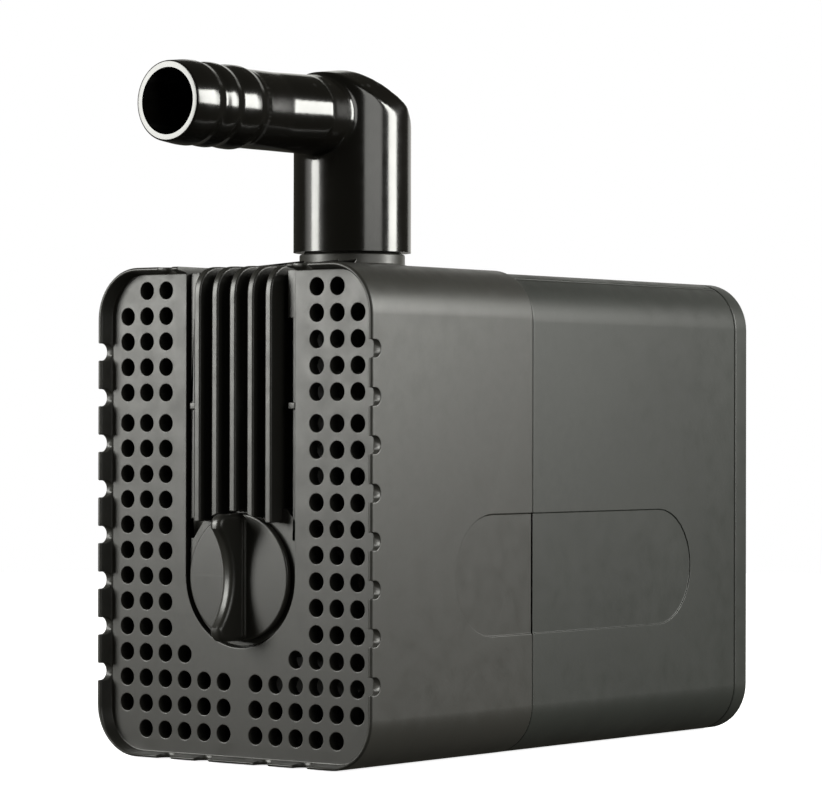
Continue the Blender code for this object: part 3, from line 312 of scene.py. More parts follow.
def turned_into(shape, profile, place, sides, closed=False):
    """Add a revolved profile of (radius, height) points to a mesh that is being made."""
    rings = []
    for radius, height in profile:
        if radius < 1e-7:
            rings.append([shape.verts.new(place @ Vector((0.0, 0.0, height)))])
            continue
        rings.append([shape.verts.new(place @ Vector((radius * cos(2 * pi * k / sides),
                                                      radius * sin(2 * pi * k / sides), height)))
                      for k in range(sides)])
    for near, far in zip(rings, rings[1:] + (rings[:1] if closed else [])):
        bridge(shape, near, far)


def turned(name, profile, origin, along, sides=96, closed=False):
    """A solid of revolution. An open profile starts and ends on the axis."""
    shape = bmesh.new()
    turned_into(shape, profile, Matrix.Translation(origin) @ AXIS_TURN[along], sides, closed)
    return add_object(name, shape)


def rod(name, radius, start, length, along, sides=64, rim=0.0):
    profile = [(0.0, 0.0), (radius, 0.0), (radius, length), (0.0, length)]
    return turned(name, softened(profile, rim, 4, closed=False) if rim else profile, start, along, sides)


def span(side, near_far):
    """The two x values of something between near and far mm from the middle, on one side."""
    near, far = near_far
    return min(side * near, side * far) * MM, max(side * near, side * far) * MM


def box(name, low, high):
    outline = [Vector((low[0], low[1])), Vector((high[0], low[1])), Vector((high[0], high[1])),
               Vector((low[0], high[1]))]
    return prism(name, outline, "Z", low[2], high[2])


def settle(piece):
    """Turn a piece's modifiers into mesh."""
    graph = bpy.context.evaluated_depsgraph_get()
    made = bpy.data.meshes.new_from_object(piece.evaluated_get(graph), preserve_all_data_layers=True,
                                           depsgraph=graph)
    piece.modifiers.clear()
    piece.data = made
    return piece


def combine(piece, operation, tools):
    for tool in tools:
        step = piece.modifiers.new(tool.name, "BOOLEAN")
        step.operation = operation
        step.object = tool
        step.solver = "EXACT"
    settle(piece)
    for tool in tools:
        bpy.data.objects.remove(tool, do_unlink=True)
    return piece


def carve(piece, *tools):
    return combine(piece, "DIFFERENCE", tools)


def fuse(piece, *tools):
    return combine(piece, "UNION", tools)


def keep_inside(piece, tool):
    return combine(piece, "INTERSECT", (tool,))


def tidy_mesh(piece):
    """Merge doubled points and drop points that add nothing."""
    shape = bmesh.new()
    shape.from_mesh(piece.data)
    bmesh.ops.remove_doubles(shape, verts=shape.verts, dist=0.002 * MM)
    bmesh.ops.dissolve_degenerate(shape, dist=0.001 * MM, edges=shape.edges)
    shape.to_mesh(piece.data)
    shape.free()
    piece.data.shade_smooth()
    return piece


def round_edges(piece, width, angle=50.0, segments=2):
    """Round the sharp edges, and keep flat faces flat in the shading."""
    tidy_mesh(piece)
    step = piece.modifiers.new("rounding", "BEVEL")
    step.limit_method = "ANGLE"
    step.angle_limit = radians(angle)
    step.width = width
    step.segments = segments
    step.use_clamp_overlap = False
    step.miter_outer = "MITER_ARC"
    settle(piece)
    return shade_by_area(piece)


def shade_by_area(piece):
    step = piece.modifiers.new("shading", "WEIGHTED_NORMAL")
    step.mode = "FACE_AREA_WITH_ANGLE"
    step.weight = 100
    step.keep_sharp = True
    piece.data.shade_smooth()
    piece.data.set_sharp_from_angle(angle=radians(SHARP_ANGLE))
    return piece


def finish_piece(piece, material, slot, body, *replaced):
    piece.data.materials.clear()
    piece.data.materials.append(material)
    for polygon in piece.data.polygons:
        polygon.material_index = 0
    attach(piece, body)
    if replaced:
        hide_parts(*replaced)
    return piece


# ---------------------------------------------------------------- materials

class Nodes:
    """A material's node tree, with short ways to add the nodes used here."""

    def __init__(self, name):
        self.material = bpy.data.materials.new(name)
        self.material.use_nodes = True
        self.tree = self.material.node_tree
        self.shader = self.tree.nodes["Principled BSDF"]
        coordinates = self.tree.nodes.new("ShaderNodeTexCoord")
        self.place = coordinates.outputs["Object"]

    def add(self, kind, inputs=None, **settings):
        node = self.tree.nodes.new(kind)
        for key, value in settings.items():
            setattr(node, key, value)
        for key, value in (inputs or {}).items():
            if isinstance(value, bpy.types.NodeSocket):
                self.tree.links.new(value, node.inputs[key])
            else:
                node.inputs[key].default_value = value
        return node

    def link(self, socket, name):
        self.tree.links.new(socket, self.shader.inputs[name])

    def noise(self, size, detail=3.0, roughness=0.55, place=None):
        return self.add("ShaderNodeTexNoise", {"Vector": place or self.place, "Scale": 1.0 / size,
                                               "Detail": detail, "Roughness": roughness}).outputs["Fac"]

    def ranged(self, value, low, high, from_low=0.0, from_high=1.0):
        return self.add("ShaderNodeMapRange", {"Value": value, "From Min": from_low, "From Max": from_high,
                                               "To Min": low, "To Max": high}).outputs["Result"]

    def mixed(self, factor, first, second):
        node = self.add("ShaderNodeMix", data_type="RGBA")
        for value, socket in ((factor, node.inputs[0]), (first, node.inputs[6]), (second, node.inputs[7])):
            if isinstance(value, bpy.types.NodeSocket):
                self.tree.links.new(value, socket)
            else:
                socket.default_value = value
        return node.outputs[2]

    def bump(self, height, distance, strength=1.0, under=None):
        inputs = {"Height": height, "Distance": distance, "Strength": strength}
        if under is not None:
            inputs["Normal"] = under
        return self.add("ShaderNodeBump", inputs).outputs["Normal"]

    def edges(self, low=0.53, high=0.62):
        """1 on convex edges, 0 on flat and hollow places."""
        geometry = self.add("ShaderNodeNewGeometry")
        return self.ranged(geometry.outputs["Pointiness"], 0.0, 1.0, low, high)


def shade(colour, factor):
    return (*[min(1.0, c * factor) for c in colour], 1.0)


def moulded(name, colour, roughness, grain=0.35 * MM, height=0.006 * MM, mottle=0.12, wear=0.35,
            specular=0.5, metallic=0.0, spread=0.05):
    """Moulded plastic: fine grain, slow colour and gloss changes, and rubbed edges."""
    nodes = Nodes(name)
    slow = nodes.noise(22 * MM, 4.0)
    middle = nodes.noise(3.5 * MM, 4.0, 0.6)
    fine = nodes.noise(grain, 3.0)
    both = nodes.add("ShaderNodeMath", {0: slow, 1: middle}, operation="ADD").outputs[0]
    amount = nodes.ranged(both, 0.0, 1.0, 0.7, 1.3)
    base = nodes.mixed(amount, shade(colour, 1 - mottle), shade(colour, 1 + mottle))
    rubbed = nodes.add("ShaderNodeMath", {0: nodes.edges(), 1: nodes.ranged(middle, 0.0, wear, 0.35, 0.6)},
                       operation="MULTIPLY").outputs[0]
    base = nodes.mixed(rubbed, base, shade([c + 0.05 for c in colour], 1.6))
    nodes.link(base, "Base Color")
    nodes.link(nodes.ranged(middle, roughness + spread, roughness - spread, 0.3, 0.7), "Roughness")
    nodes.link(nodes.bump(fine, height), "Normal")
    nodes.shader.inputs["Metallic"].default_value = metallic
    nodes.shader.inputs["Specular IOR Level"].default_value = specular
    return nodes.material


SATIN = moulded("satin_grey_plastic", (0.027, 0.0265, 0.0235), 0.40, mottle=0.10)
HOUSING = moulded("housing_grey_plastic", (0.021, 0.023, 0.0205), 0.43, mottle=0.16, specular=0.44)
DIAL = moulded("dial_black_plastic", (0.020, 0.0195, 0.017), 0.35, mottle=0.08)
GLOSS = moulded("gloss_black_plastic", (0.0040, 0.0037, 0.0030), 0.16, grain=0.9 * MM, height=0.0012 * MM,
                mottle=0.10, wear=0.25, spread=0.025)
GUARD = moulded("rib_grey_plastic", (0.022, 0.0215, 0.019), 0.37, mottle=0.10)
INNER = moulded("inner_black_plastic", (0.022, 0.022, 0.021), 0.40, mottle=0.10)
NATURAL = moulded("natural_plastic", (0.58, 0.56, 0.50), 0.40, mottle=0.05, wear=0.1)
RUBBER = moulded("black_rubber", (0.016, 0.016, 0.016), 0.62, grain=0.2 * MM, height=0.010 * MM)


def banded(name, colour, roughness, along, pitch, depth, dark, metallic, tangle=0.0):
    """Layers stacked along one axis: steel laminations, or turns of wire."""
    nodes = Nodes(name)
    place = nodes.place
    if tangle > 0.0:
        wander = nodes.add("ShaderNodeTexNoise", {"Vector": place, "Scale": 1.0 / (4.0 * MM), "Detail": 2.0})
        shift = nodes.add("ShaderNodeVectorMath", {0: wander.outputs["Color"], 1: (tangle, tangle, tangle)},
                          operation="MULTIPLY").outputs[0]
        place = nodes.add("ShaderNodeVectorMath", {0: place, 1: shift}, operation="ADD").outputs[0]
    split = nodes.add("ShaderNodeSeparateXYZ", {"Vector": place})
    phase = nodes.add("ShaderNodeMath", {0: split.outputs[along], 1: 2 * pi / pitch},
                      operation="MULTIPLY").outputs[0]
    wave = nodes.add("ShaderNodeMath", {0: phase}, operation="SINE").outputs[0]
    ridge = nodes.ranged(wave, 0.0, 1.0, -0.9, 0.7)
    mottle = nodes.noise(3.0 * MM, 4.0, 0.6)
    base = nodes.mixed(ridge, shade(colour, dark), shade(colour, 1.0))
    base = nodes.mixed(nodes.ranged(mottle, 0.0, 0.45, 0.35, 0.7), base, shade(colour, 0.6))
    nodes.link(base, "Base Color")
    nodes.link(nodes.ranged(mottle, roughness - 0.07, roughness + 0.08, 0.3, 0.7), "Roughness")
    grain = nodes.bump(nodes.noise(0.25 * MM), 0.004 * MM)
    nodes.link(nodes.bump(ridge, depth, under=grain), "Normal")
    nodes.shader.inputs["Metallic"].default_value = metallic
    return nodes.material


FERRITE = moulded("sintered_ferrite", (0.070, 0.066, 0.064), 0.46, grain=0.25 * MM, height=0.012 * MM,
                  mottle=0.2, wear=0.5, metallic=0.2)
CERAMIC = moulded("ground_ceramic", (0.80, 0.78, 0.73), 0.24, grain=0.2 * MM, height=0.002 * MM, mottle=0.05,
                  wear=0.1)
SPRING_STEEL = moulded("spring_steel", (0.50, 0.50, 0.51), 0.28, grain=0.2 * MM, height=0.003 * MM,
                       mottle=0.12,
                       wear=0.2, metallic=1.0)
RESIN = moulded("potting_resin", (0.030, 0.030, 0.035), 0.26, grain=1.4 * MM, height=0.02 * MM, mottle=0.2)
LAMINATIONS = banded("laminated_steel", (0.42, 0.42, 0.43), 0.38, "Y", 0.5 * MM, 0.03 * MM, 0.35, 0.9)
COPPER = banded("enamelled_copper", (0.48, 0.19, 0.06), 0.30, "Z", 0.34 * MM, 0.06 * MM, 0.30, 0.7, 0.10 * MM)
BROWN = moulded("brown_insulation", (0.16, 0.07, 0.03), 0.46, grain=0.5 * MM, height=0.008 * MM)
BLUE = moulded("blue_insulation", (0.03, 0.12, 0.42), 0.46, grain=0.5 * MM, height=0.008 * MM)
GREEN = moulded("green_insulation", (0.10, 0.30, 0.05), 0.46, grain=0.5 * MM, height=0.008 * MM)

CAD_FINISH = {
    "outlet_o_ring": RUBBER, "chamber_seal": RUBBER, "front_bearing": RUBBER, "rear_bearing": RUBBER,
    "dial_clip": SPRING_STEEL, "dial_shutter": NATURAL, "impeller": NATURAL, "rotor_sleeve": NATURAL,
    "bobbin_left": NATURAL, "bobbin_right": NATURAL, "rotor_magnet": FERRITE, "shaft": CERAMIC,
    "front_washer": CERAMIC, "rear_washer": CERAMIC, "thermal_cutout": CERAMIC, "rotor_well": INNER,
    "stator_core": LAMINATIONS, "winding_left": COPPER, "winding_right": COPPER, "potting_slab": RESIN,
    "lead_live": BROWN, "lead_neutral": BLUE, "lead_earth": GREEN,
}


def finish_cad_nodes():
    """Give each CAD node that stays its own finish."""
    for name, material in CAD_FINISH.items():
        for place in NODES[name].material_slots:
            place.material = material


# ---------------------------------------------------------- strainer cover

def stadium(length, height, steps=16):
    """Outline of a slot with round ends, centred on the origin."""
    radius = height / 2
    half = length / 2 - radius
    out = []
    for centre, start in ((half, -90.0), (-half, 90.0)):
        for k in range(steps + 1):
            angle = radians(start + 180.0 * k / steps)
            out.append(Vector((centre + radius * cos(angle), radius * sin(angle))))
    return out


def label_cutter(surface_x):
    outline = [p + Vector((LABEL_Y, LABEL_Z)) for p in stadium(LABEL_LENGTH, LABEL_HEIGHT)]
    return prism("label_field", outline, "X", HALF_WIDTH - LABEL_DEPTH, surface_x + OVER)


def row_heights():
    upper = [UPPER_ROWS_BOTTOM_Z + i * HOLE_PITCH for i in range(5)]
    lower = [LOWER_ROWS_TOP_Z - i * HOLE_PITCH for i in range(13)]
    return sorted(upper + lower, reverse=True)


def columns_in_row(row):
    """Columns with a hole, counted from the middle (0) to the side (5)."""
    special = {0: (3, 4), 14: (2, 3, 4, 5), 15: range(6), 16: range(6), 17: range(5)}
    return special.get(row, (3, 4, 5))


def hole_cutters():
    """Every strainer hole, with a rounded mouth on the panel's front."""
    mouth = 0.16 * MM
    profile = [(0.0, -OVER), (HOLE_RADIUS + mouth + OVER * 0.35, -OVER), (HOLE_RADIUS + mouth, 0.0),
               (HOLE_RADIUS + 0.3 * mouth, 0.35 * mouth), (HOLE_RADIUS, mouth * 1.2),
               (HOLE_RADIUS, PANEL_BACK_Y - PANEL_Y + OVER), (0.0, PANEL_BACK_Y - PANEL_Y + OVER)]
    shape = bmesh.new()
    for row, height in enumerate(row_heights()):
        for column in columns_in_row(row):
            for side in (-1, 1):
                place = Vector((side * (FIRST_COLUMN_X + column * HOLE_PITCH), PANEL_Y, height))
                turned_into(shape, profile, Matrix.Translation(place) @ AXIS_TURN["Y"], 24)
    return add_object("holes", shape)


def notch_outline(place):
    """A round-bottomed notch cut back from the rim: (Y, the other coordinate)."""
    bottom = RIM_Y + NOTCH_DEPTH - NOTCH_RADIUS
    out = [Vector((RIM_Y - OVER, place - NOTCH_RADIUS))]
    for k in range(13):
        angle = radians(-90.0 + 180.0 * k / 12)
        out.append(Vector((bottom + NOTCH_RADIUS * cos(angle), place + NOTCH_RADIUS * sin(angle))))
    out.append(Vector((RIM_Y - OVER, place + NOTCH_RADIUS)))
    return out


def notch_cutters():
    tools = []
    half = HALF_WIDTH + OVER
    for i in range(8):
        tools.append(prism(f"side_notch_{i}", notch_outline((63.55 - 7.22 * i) * MM), "X", -half, half))
    for x, top in ((-13.7, COVER_TOP + OVER), (13.7, COVER_TOP + OVER),
                   (-6.0, WALL + OVER), (6.0, WALL + OVER)):
        outline = [Vector((p.y, p.x)) for p in notch_outline(x * MM)]
        tools.append(prism(f"end_notch_{x}", outline, "Z", -OVER, top))
    return tools


def make_strainer():
    outside = rounded_outline(HALF_WIDTH, 0.0, COVER_TOP, CORNER)
    inside = inset(outside, WALL)
    cover = prism("strainer_cover", outside, "Y", RIM_Y, COVER_BACK_Y, rims=(0.42 * MM, 0.25 * MM))
    hollow = prism("hollow", inside, "Y", PANEL_BACK_Y, COVER_BACK_Y + OVER)
    # The recess opens out at its mouth, so that the rim's inner edge is rounded.
    shape = bmesh.new()
    levels = [(RIM_LIP - 0.6 * MM, RIM_Y - OVER), (RIM_LIP - 0.34 * MM, RIM_Y),
              (RIM_LIP - 0.18 * MM, RIM_Y + 0.06 * MM), (RIM_LIP - 0.05 * MM, RIM_Y + 0.17 * MM),
              (RIM_LIP, RIM_Y + 0.36 * MM), (RIM_FOOT - 0.02 * MM, PANEL_Y - 0.3 * MM),
              (RIM_FOOT + 0.07 * MM, PANEL_Y - 0.1 * MM), (RIM_FOOT + 0.3 * MM, PANEL_Y)]
    rings = []
    for amount, y in levels:
        opening = rounded_outline(HALF_WIDTH - amount, RIM_BOTTOM * amount, COVER_TOP - RIM_TOP * amount,
                                  CORNER - amount)
        rings.append([shape.verts.new(place_point(p, "Y", y)) for p in opening])
    for near, far in zip(rings, rings[1:]):
        bridge(shape, near, far)
    shape.faces.new(rings[0])
    shape.faces.new(rings[-1])
    recess = add_object("recess", shape)
    slot_outline = [Vector((SLOT_HALF, COVER_TOP + OVER)), Vector((-SLOT_HALF, COVER_TOP + OVER))]
    for k in range(33):
        angle = radians(180.0 + 180.0 * k / 32)
        slot_outline.append(Vector((SLOT_HALF * cos(angle), AXIS_Z + SLOT_HALF * sin(angle))))
    slot = prism("slot", slot_outline, "Y", RIM_Y - OVER, COVER_BACK_Y + OVER)
    carve(cover, hollow, recess, slot, hole_cutters(), *notch_cutters(), label_cutter(HALF_WIDTH))
    round_edges(cover, 0.16 * MM)
    finish_piece(cover, SATIN, "satin_grey_plastic", "strainer", "front_cover")


# ------------------------------------------------------------ motor housing

def make_housing():
    outside = rounded_outline(HOUSING_HALF, 0.0, HOUSING_TOP, CORNER)
    shell = prism("motor_shell", outside, "Y", HOUSING_FRONT_Y, HOUSING_BACK_Y, rims=(0.35 * MM, 0.35 * MM))
    lip = prism("lip", inset(rounded_outline(HALF_WIDTH, 0.0, COVER_TOP, CORNER), WALL + GAP + 0.1 * MM),
                "Y", HOUSING_FRONT_Y - 2.4 * MM, HOUSING_FRONT_Y + OVER, rims=(0.4 * MM, 0.0))
    beads = []
    for side in (-1, 1):
        angle = radians(62.0)
        centre = Vector((side * (HOUSING_HALF - CORNER + (CORNER - 0.07 * MM) * cos(angle)),
                         HOUSING_FRONT_Y + 0.5 * MM,
                         HOUSING_TOP - CORNER + (CORNER - 0.07 * MM) * sin(angle)))
        beads.append(rod(f"mould_line_{side}", 0.16 * MM, centre,
                         HOUSING_BACK_Y - HOUSING_FRONT_Y - MM, "Y", 12))
    fuse(shell, lip, *beads)
    hollow = prism("hollow", inset(outside, 2.1 * MM), "Y", HOUSING_FRONT_Y + 2 * MM, HOUSING_BACK_Y + OVER)
    lip_hollow = prism("lip_hollow", inset(outside, 3.6 * MM), "Y", HOUSING_FRONT_Y - 2.4 * MM - OVER,
                       HOUSING_FRONT_Y)
    well_hole = rod("well_hole", 12.5 * MM, (0.0, HOUSING_FRONT_Y - OVER, AXIS_Z), 4 * MM, "Y")
    carve(shell, hollow, lip_hollow, well_hole, label_cutter(HALF_WIDTH))
    round_edges(shell, 0.14 * MM)
    finish_piece(shell, HOUSING, "housing_grey_plastic", "body", "motor_housing")


def make_rear_cap():
    outside = rounded_outline(HOUSING_HALF, 0.0, HOUSING_TOP, CORNER)
    cap = prism("end_cap", outside, "Y", CAP_FRONT_Y, CAP_BACK_Y, rims=(0.35 * MM, 0.8 * MM))
    plug = prism("plug", inset(outside, 2.4 * MM), "Y", CAP_FRONT_Y - 4 * MM, CAP_FRONT_Y + OVER,
                 rims=(0.5 * MM, 0.0))
    fuse(cap, plug)
    plug_hollow = prism("plug_hollow", inset(outside, 4.3 * MM), "Y",
                        CAP_FRONT_Y - 4 * MM - OVER, CAP_FRONT_Y)
    gland_hole = rod("gland_hole", 6.7 * MM, (0.0, CAP_FRONT_Y - OVER, GLAND_Z), 8 * MM, "Y")
    marks = [rod(f"ejector_mark_{i}", 2.0 * MM, (x * MM, CAP_BACK_Y - 0.12 * MM, z * MM), OVER, "Y", 32)
             for i, (x, z) in enumerate(((-18.5, 9.5), (18.5, 9.5), (-18.5, 66.0),
                                         (18.5, 66.0), (0.0, 30.0)))]
    field = prism("rear_field", inset(outside, 4.5 * MM), "Y", CAP_BACK_Y - 0.35 * MM, CAP_BACK_Y + OVER)
    pads = prism("gland_pad", [Vector((10 * MM * cos(a), GLAND_Z + 10 * MM * sin(a)))
                               for a in (2 * pi * k / 64 for k in range(64))], "Y",
                 CAP_BACK_Y - 2 * MM, CAP_BACK_Y + 2 * OVER)
    carve(field, pads)
    carve(cap, plug_hollow, gland_hole, field, *marks)
    round_edges(cap, 0.14 * MM)
    finish_piece(cap, HOUSING, "housing_grey_plastic", "body", "rear_cap")


def make_gland():
    inner_y = GLAND_LOW.y
    length = GLAND_HIGH.y - inner_y
    flange = GLAND_HIGH.x
    body = 6.4 * MM
    bore = 3.3 * MM
    seat = CAP_BACK_Y - inner_y
    outline = [(bore, length), (body - 1.9 * MM, length), (body - 1.6 * MM, length - 0.7 * MM),
               (body - 2.0 * MM, length - 0.8 * MM), (body - 1.1 * MM, length - 1.1 * MM),
               (body - 0.5 * MM, seat + 0.25 * MM), (body, seat), (body, 2.3 * MM), (flange, 2.3 * MM),
               (flange, 0.0), (bore, 0.0)]
    gland = turned("gland_bush", softened(outline, 0.35 * MM, 3), (0.0, inner_y, GLAND_Z),
                   "Y", 72, closed=True)
    finish_piece(shade_by_area(gland), RUBBER, "black_rubber", "body", "cable_gland")


# ------------------------------------------------------- chamber and outlet

def make_chamber():
    depth = CHAMBER_BACK_Y - CHAMBER_FRONT_Y
    chamber = rod("pump_volute", CHAMBER_RADIUS, (0.0, CHAMBER_FRONT_Y, AXIS_Z), depth, "Y", 96, rim=0.6 * MM)
    profile = [(0.0, SPIGOT_TOP_Z), (SPIGOT_RADIUS, SPIGOT_TOP_Z), (SPIGOT_RADIUS, 85.9 * MM),
               (6.4 * MM, 85.9 * MM), (6.4 * MM, 84.1 * MM), (SPIGOT_RADIUS, 84.1 * MM),
               (SPIGOT_RADIUS, 79.3 * MM), (NECK_RADIUS, 79.3 * MM), (NECK_RADIUS, 77.6 * MM),
               (8.85 * MM, 77.6 * MM), (8.85 * MM, 76.1 * MM), (NECK_RADIUS, 76.1 * MM),
               (NECK_RADIUS, 56.0 * MM), (6.4 * MM, 53.5 * MM), (6.4 * MM, 42.0 * MM), (0.0, 42.0 * MM)]
    duct = turned("duct", softened(profile, 0.3 * MM, 3, closed=False), (0.0, OUTLET_Y, 0.0), "Z", 96)
    fuse(chamber, duct)
    volute = rod("volute", CHAMBER_RADIUS - 2 * MM, (0.0, CHAMBER_FRONT_Y - OVER, AXIS_Z),
                 depth - 2 * MM + OVER,
                 "Y", 96)
    rotor_hole = rod("rotor_hole", 11 * MM, (0.0, CHAMBER_BACK_Y - 4 * MM, AXIS_Z), 6 * MM, "Y", 96)
    bore = rod("bore", OUTLET_BORE, (0.0, OUTLET_Y, AXIS_Z), SPIGOT_TOP_Z - AXIS_Z + OVER, "Z", 72)
    carve(chamber, volute, rotor_hole, bore)
    round_edges(chamber, 0.2 * MM)
    finish_piece(chamber, SATIN, "satin_grey_plastic", "body", "pump_chamber")


def barb_profile():
    """(radius, distance in front of the outlet axis), from the tip back past the ridges."""
    tip = OUTLET_Y - ELBOW_LOW.y
    points = [(0.0, tip), (6.12 * MM, tip)]
    radii = [0.0, 0.28 * MM]
    for crest_start, crest_end, foot in ((41.5, 39.9, 38.3), (36.9, 35.5, 34.0), (31.6, 30.0, 28.5)):
        points += [(6.48 * MM, crest_start * MM), (6.52 * MM, crest_end * MM), (6.24 * MM, (foot + 0.3) * MM),
                   (6.22 * MM, (foot - 0.2) * MM)]
        radii += [0.5 * MM, 0.35 * MM, 0.3 * MM, 0.3 * MM]
    points += [(HOSE_TUBE_RADIUS, BARB_JOIN), (0.0, BARB_JOIN)]
    radii += [0.0, 0.0]
    return [(p.x, p.y) for p in softened(points, radii, 4, closed=False)]


def chamfer_cutter(wall):
    tool = box("chamfer", (-20 * MM, -30 * MM, 0.0), (20 * MM, 30 * MM, 30 * MM))
    tool.matrix_world = (Matrix.Translation((0.0, OUTLET_Y, CHAMFER_Z))
                         @ Matrix.Rotation(radians(-CHAMFER_TILT), 4, "X")
                         @ Matrix.Translation((0.0, 0.0, -wall)))
    bpy.context.view_layer.update()
    return tool


def arch_outline():
    half = ARCH_RADIUS + 0.3 * MM
    out = [Vector((half, -50 * MM))]
    for centre, start in ((0.3 * MM, 0.0), (-0.3 * MM, 90.0)):
        for k in range(25):
            angle = radians(start + 90.0 * k / 24)
            out.append(Vector((centre + ARCH_RADIUS * cos(angle), ARCH_RADIUS * sin(angle))))
    out.append(Vector((-half, -50 * MM)))
    return out


def melt(piece, voxel, passes):
    """Remesh evenly and smooth, so that what meets in a corner runs together as moulded."""
    step = piece.modifiers.new("remesh", "REMESH")
    step.mode = "VOXEL"
    step.voxel_size = voxel
    step.use_smooth_shade = True
    step = piece.modifiers.new("melt", "SMOOTH")
    step.factor = 0.5
    step.iterations = passes
    return settle(piece)


def true_up(piece):
    """Put the plain parts of the tube and the hose tube back on their exact radii."""
    for vertex in piece.data.vertices:
        place = vertex.co
        ahead = OUTLET_Y - place.y
        lift = place.z - BARB_Z
        tube = min(1.0, max(0.0, (TRUE_TUBE_Z - place.z) / (3.0 * MM)))
        if tube > 0.0:
            reach = (place.x ** 2 + ahead ** 2) ** 0.5
            if reach > 0.5 * ELBOW_RADIUS:
                scale = 1.0 + tube * (ELBOW_RADIUS / reach - 1.0)
                place.x *= scale
                place.y = OUTLET_Y - ahead * scale
        hose = min(1.0, max(0.0, (ahead - TRUE_HOSE_AHEAD) / (2.0 * MM)))
        if hose > 0.0:
            reach = (place.x ** 2 + lift ** 2) ** 0.5
            if reach > 0.5 * HOSE_TUBE_RADIUS:
                scale = 1.0 + hose * (HOSE_TUBE_RADIUS / reach - 1.0)
                place.x *= scale
                place.z = BARB_Z + lift * scale
    piece.data.update()


def make_elbow():
    elbow = turned("elbow_shell", [(0.0, ELBOW_BOTTOM_Z - 4 * MM), (ELBOW_RADIUS, ELBOW_BOTTOM_Z - 4 * MM),
                                   (ELBOW_RADIUS, 118 * MM), (0.0, 118 * MM)], (0.0, OUTLET_Y, 0.0), "Z", 128)
    arch = prism("arch", arch_outline(), "Y", -30 * MM, 30 * MM)
    arch.matrix_world = (Matrix.Translation((0.0, OUTLET_Y, ARCH_Z))
                         @ Matrix.Rotation(radians(ARCH_TILT), 4, "X"))
    bpy.context.view_layer.update()
    keep_inside(elbow, arch)
    profile = softened([(0.0, -BARB_JOIN - 4 * MM), (HOSE_TUBE_RADIUS, -BARB_JOIN - 4 * MM),
                        (HOSE_TUBE_RADIUS, -FLARE_START), (FLARE_RADIUS, -FLARE_END),
                        (HOSE_TUBE_RADIUS, -FLARE_END + 0.9 * MM), (HOSE_TUBE_RADIUS, 0.0), (0.0, 0.0)],
                       [0.0, 0.0, 0.6 * MM, 0.0, 0.0, 0.0, 0.0], 3, closed=False)
    cone = turned("cone", [(p.x, p.y) for p in profile], (0.0, OUTLET_Y, BARB_Z), "Y", 128)
    # The tube flares to the sides only. Its top rises a little and its underside stays level.
    for vertex in cone.data.vertices:
        lift = vertex.co.z - BARB_Z
        reach = max(HOSE_TUBE_RADIUS, (vertex.co.x ** 2 + lift ** 2) ** 0.5)
        rise = RISE_SLOPE * max(0.0, RISE_START - (OUTLET_Y - vertex.co.y))
        vertex.co.z = BARB_Z + lift * HOSE_TUBE_RADIUS / reach + (rise if lift > 0.0 else 0.0)
    fuse(elbow, cone)
    carve(elbow, chamfer_cutter(0.0))
    melt(elbow, ELBOW_VOXEL, ELBOW_PASSES)
    true_up(elbow)
    below = box("below", (-15 * MM, -60 * MM, 60 * MM), (15 * MM, 0.0, ELBOW_BOTTOM_Z))
    beyond = box("beyond", (-15 * MM, OUTLET_Y - 60 * MM, 60 * MM),
                 (15 * MM, OUTLET_Y - BARB_JOIN - 0.2 * MM, 130 * MM))
    carve(elbow, below, beyond)
    barb = turned("barb", [(radius, -distance) for radius, distance in reversed(barb_profile())],
                  (0.0, OUTLET_Y, BARB_Z), "Y", 128)
    fuse(elbow, barb)
    socket = rod("socket", SPIGOT_RADIUS + GAP, (0.0, OUTLET_Y, ELBOW_BOTTOM_Z - OVER),
                 SPIGOT_TOP_Z + GAP - ELBOW_BOTTOM_Z + OVER, "Z", 96)
    passage = rod("passage", OUTLET_BORE, (0.0, OUTLET_Y, SPIGOT_TOP_Z - OVER), 17 * MM, "Z", 72)
    hose_bore = rod("hose_bore", BARB_BORE, (0.0, ELBOW_LOW.y - OVER, BARB_Z), 51 * MM, "Y", 72)
    carve(passage, chamfer_cutter(1.6 * MM))
    carve(hose_bore, chamfer_cutter(1.6 * MM))
    carve(elbow, socket, passage, hose_bore)
    elbow.data.shade_smooth()
    elbow.data.set_sharp_from_angle(angle=radians(SHARP_ANGLE))
    finish_piece(elbow, GLOSS, "gloss_black_plastic", "elbow", "outlet_elbow")


# --------------------------------------------------------- ribs and the dial

def guard_hollows():
    """The dial's pocket in the plate, and the round well behind the plate."""
    return [rod("pocket", DIAL_RADIUS + GAP, (0.0, RIM_Y, AXIS_Z), PLATE_Y - RIM_Y, "Y", 96),
            rod("well", 11.5 * MM, (0.0, PLATE_BACK_Y, AXIS_Z), WELL_END_Y - PLATE_BACK_Y, "Y", 96)]


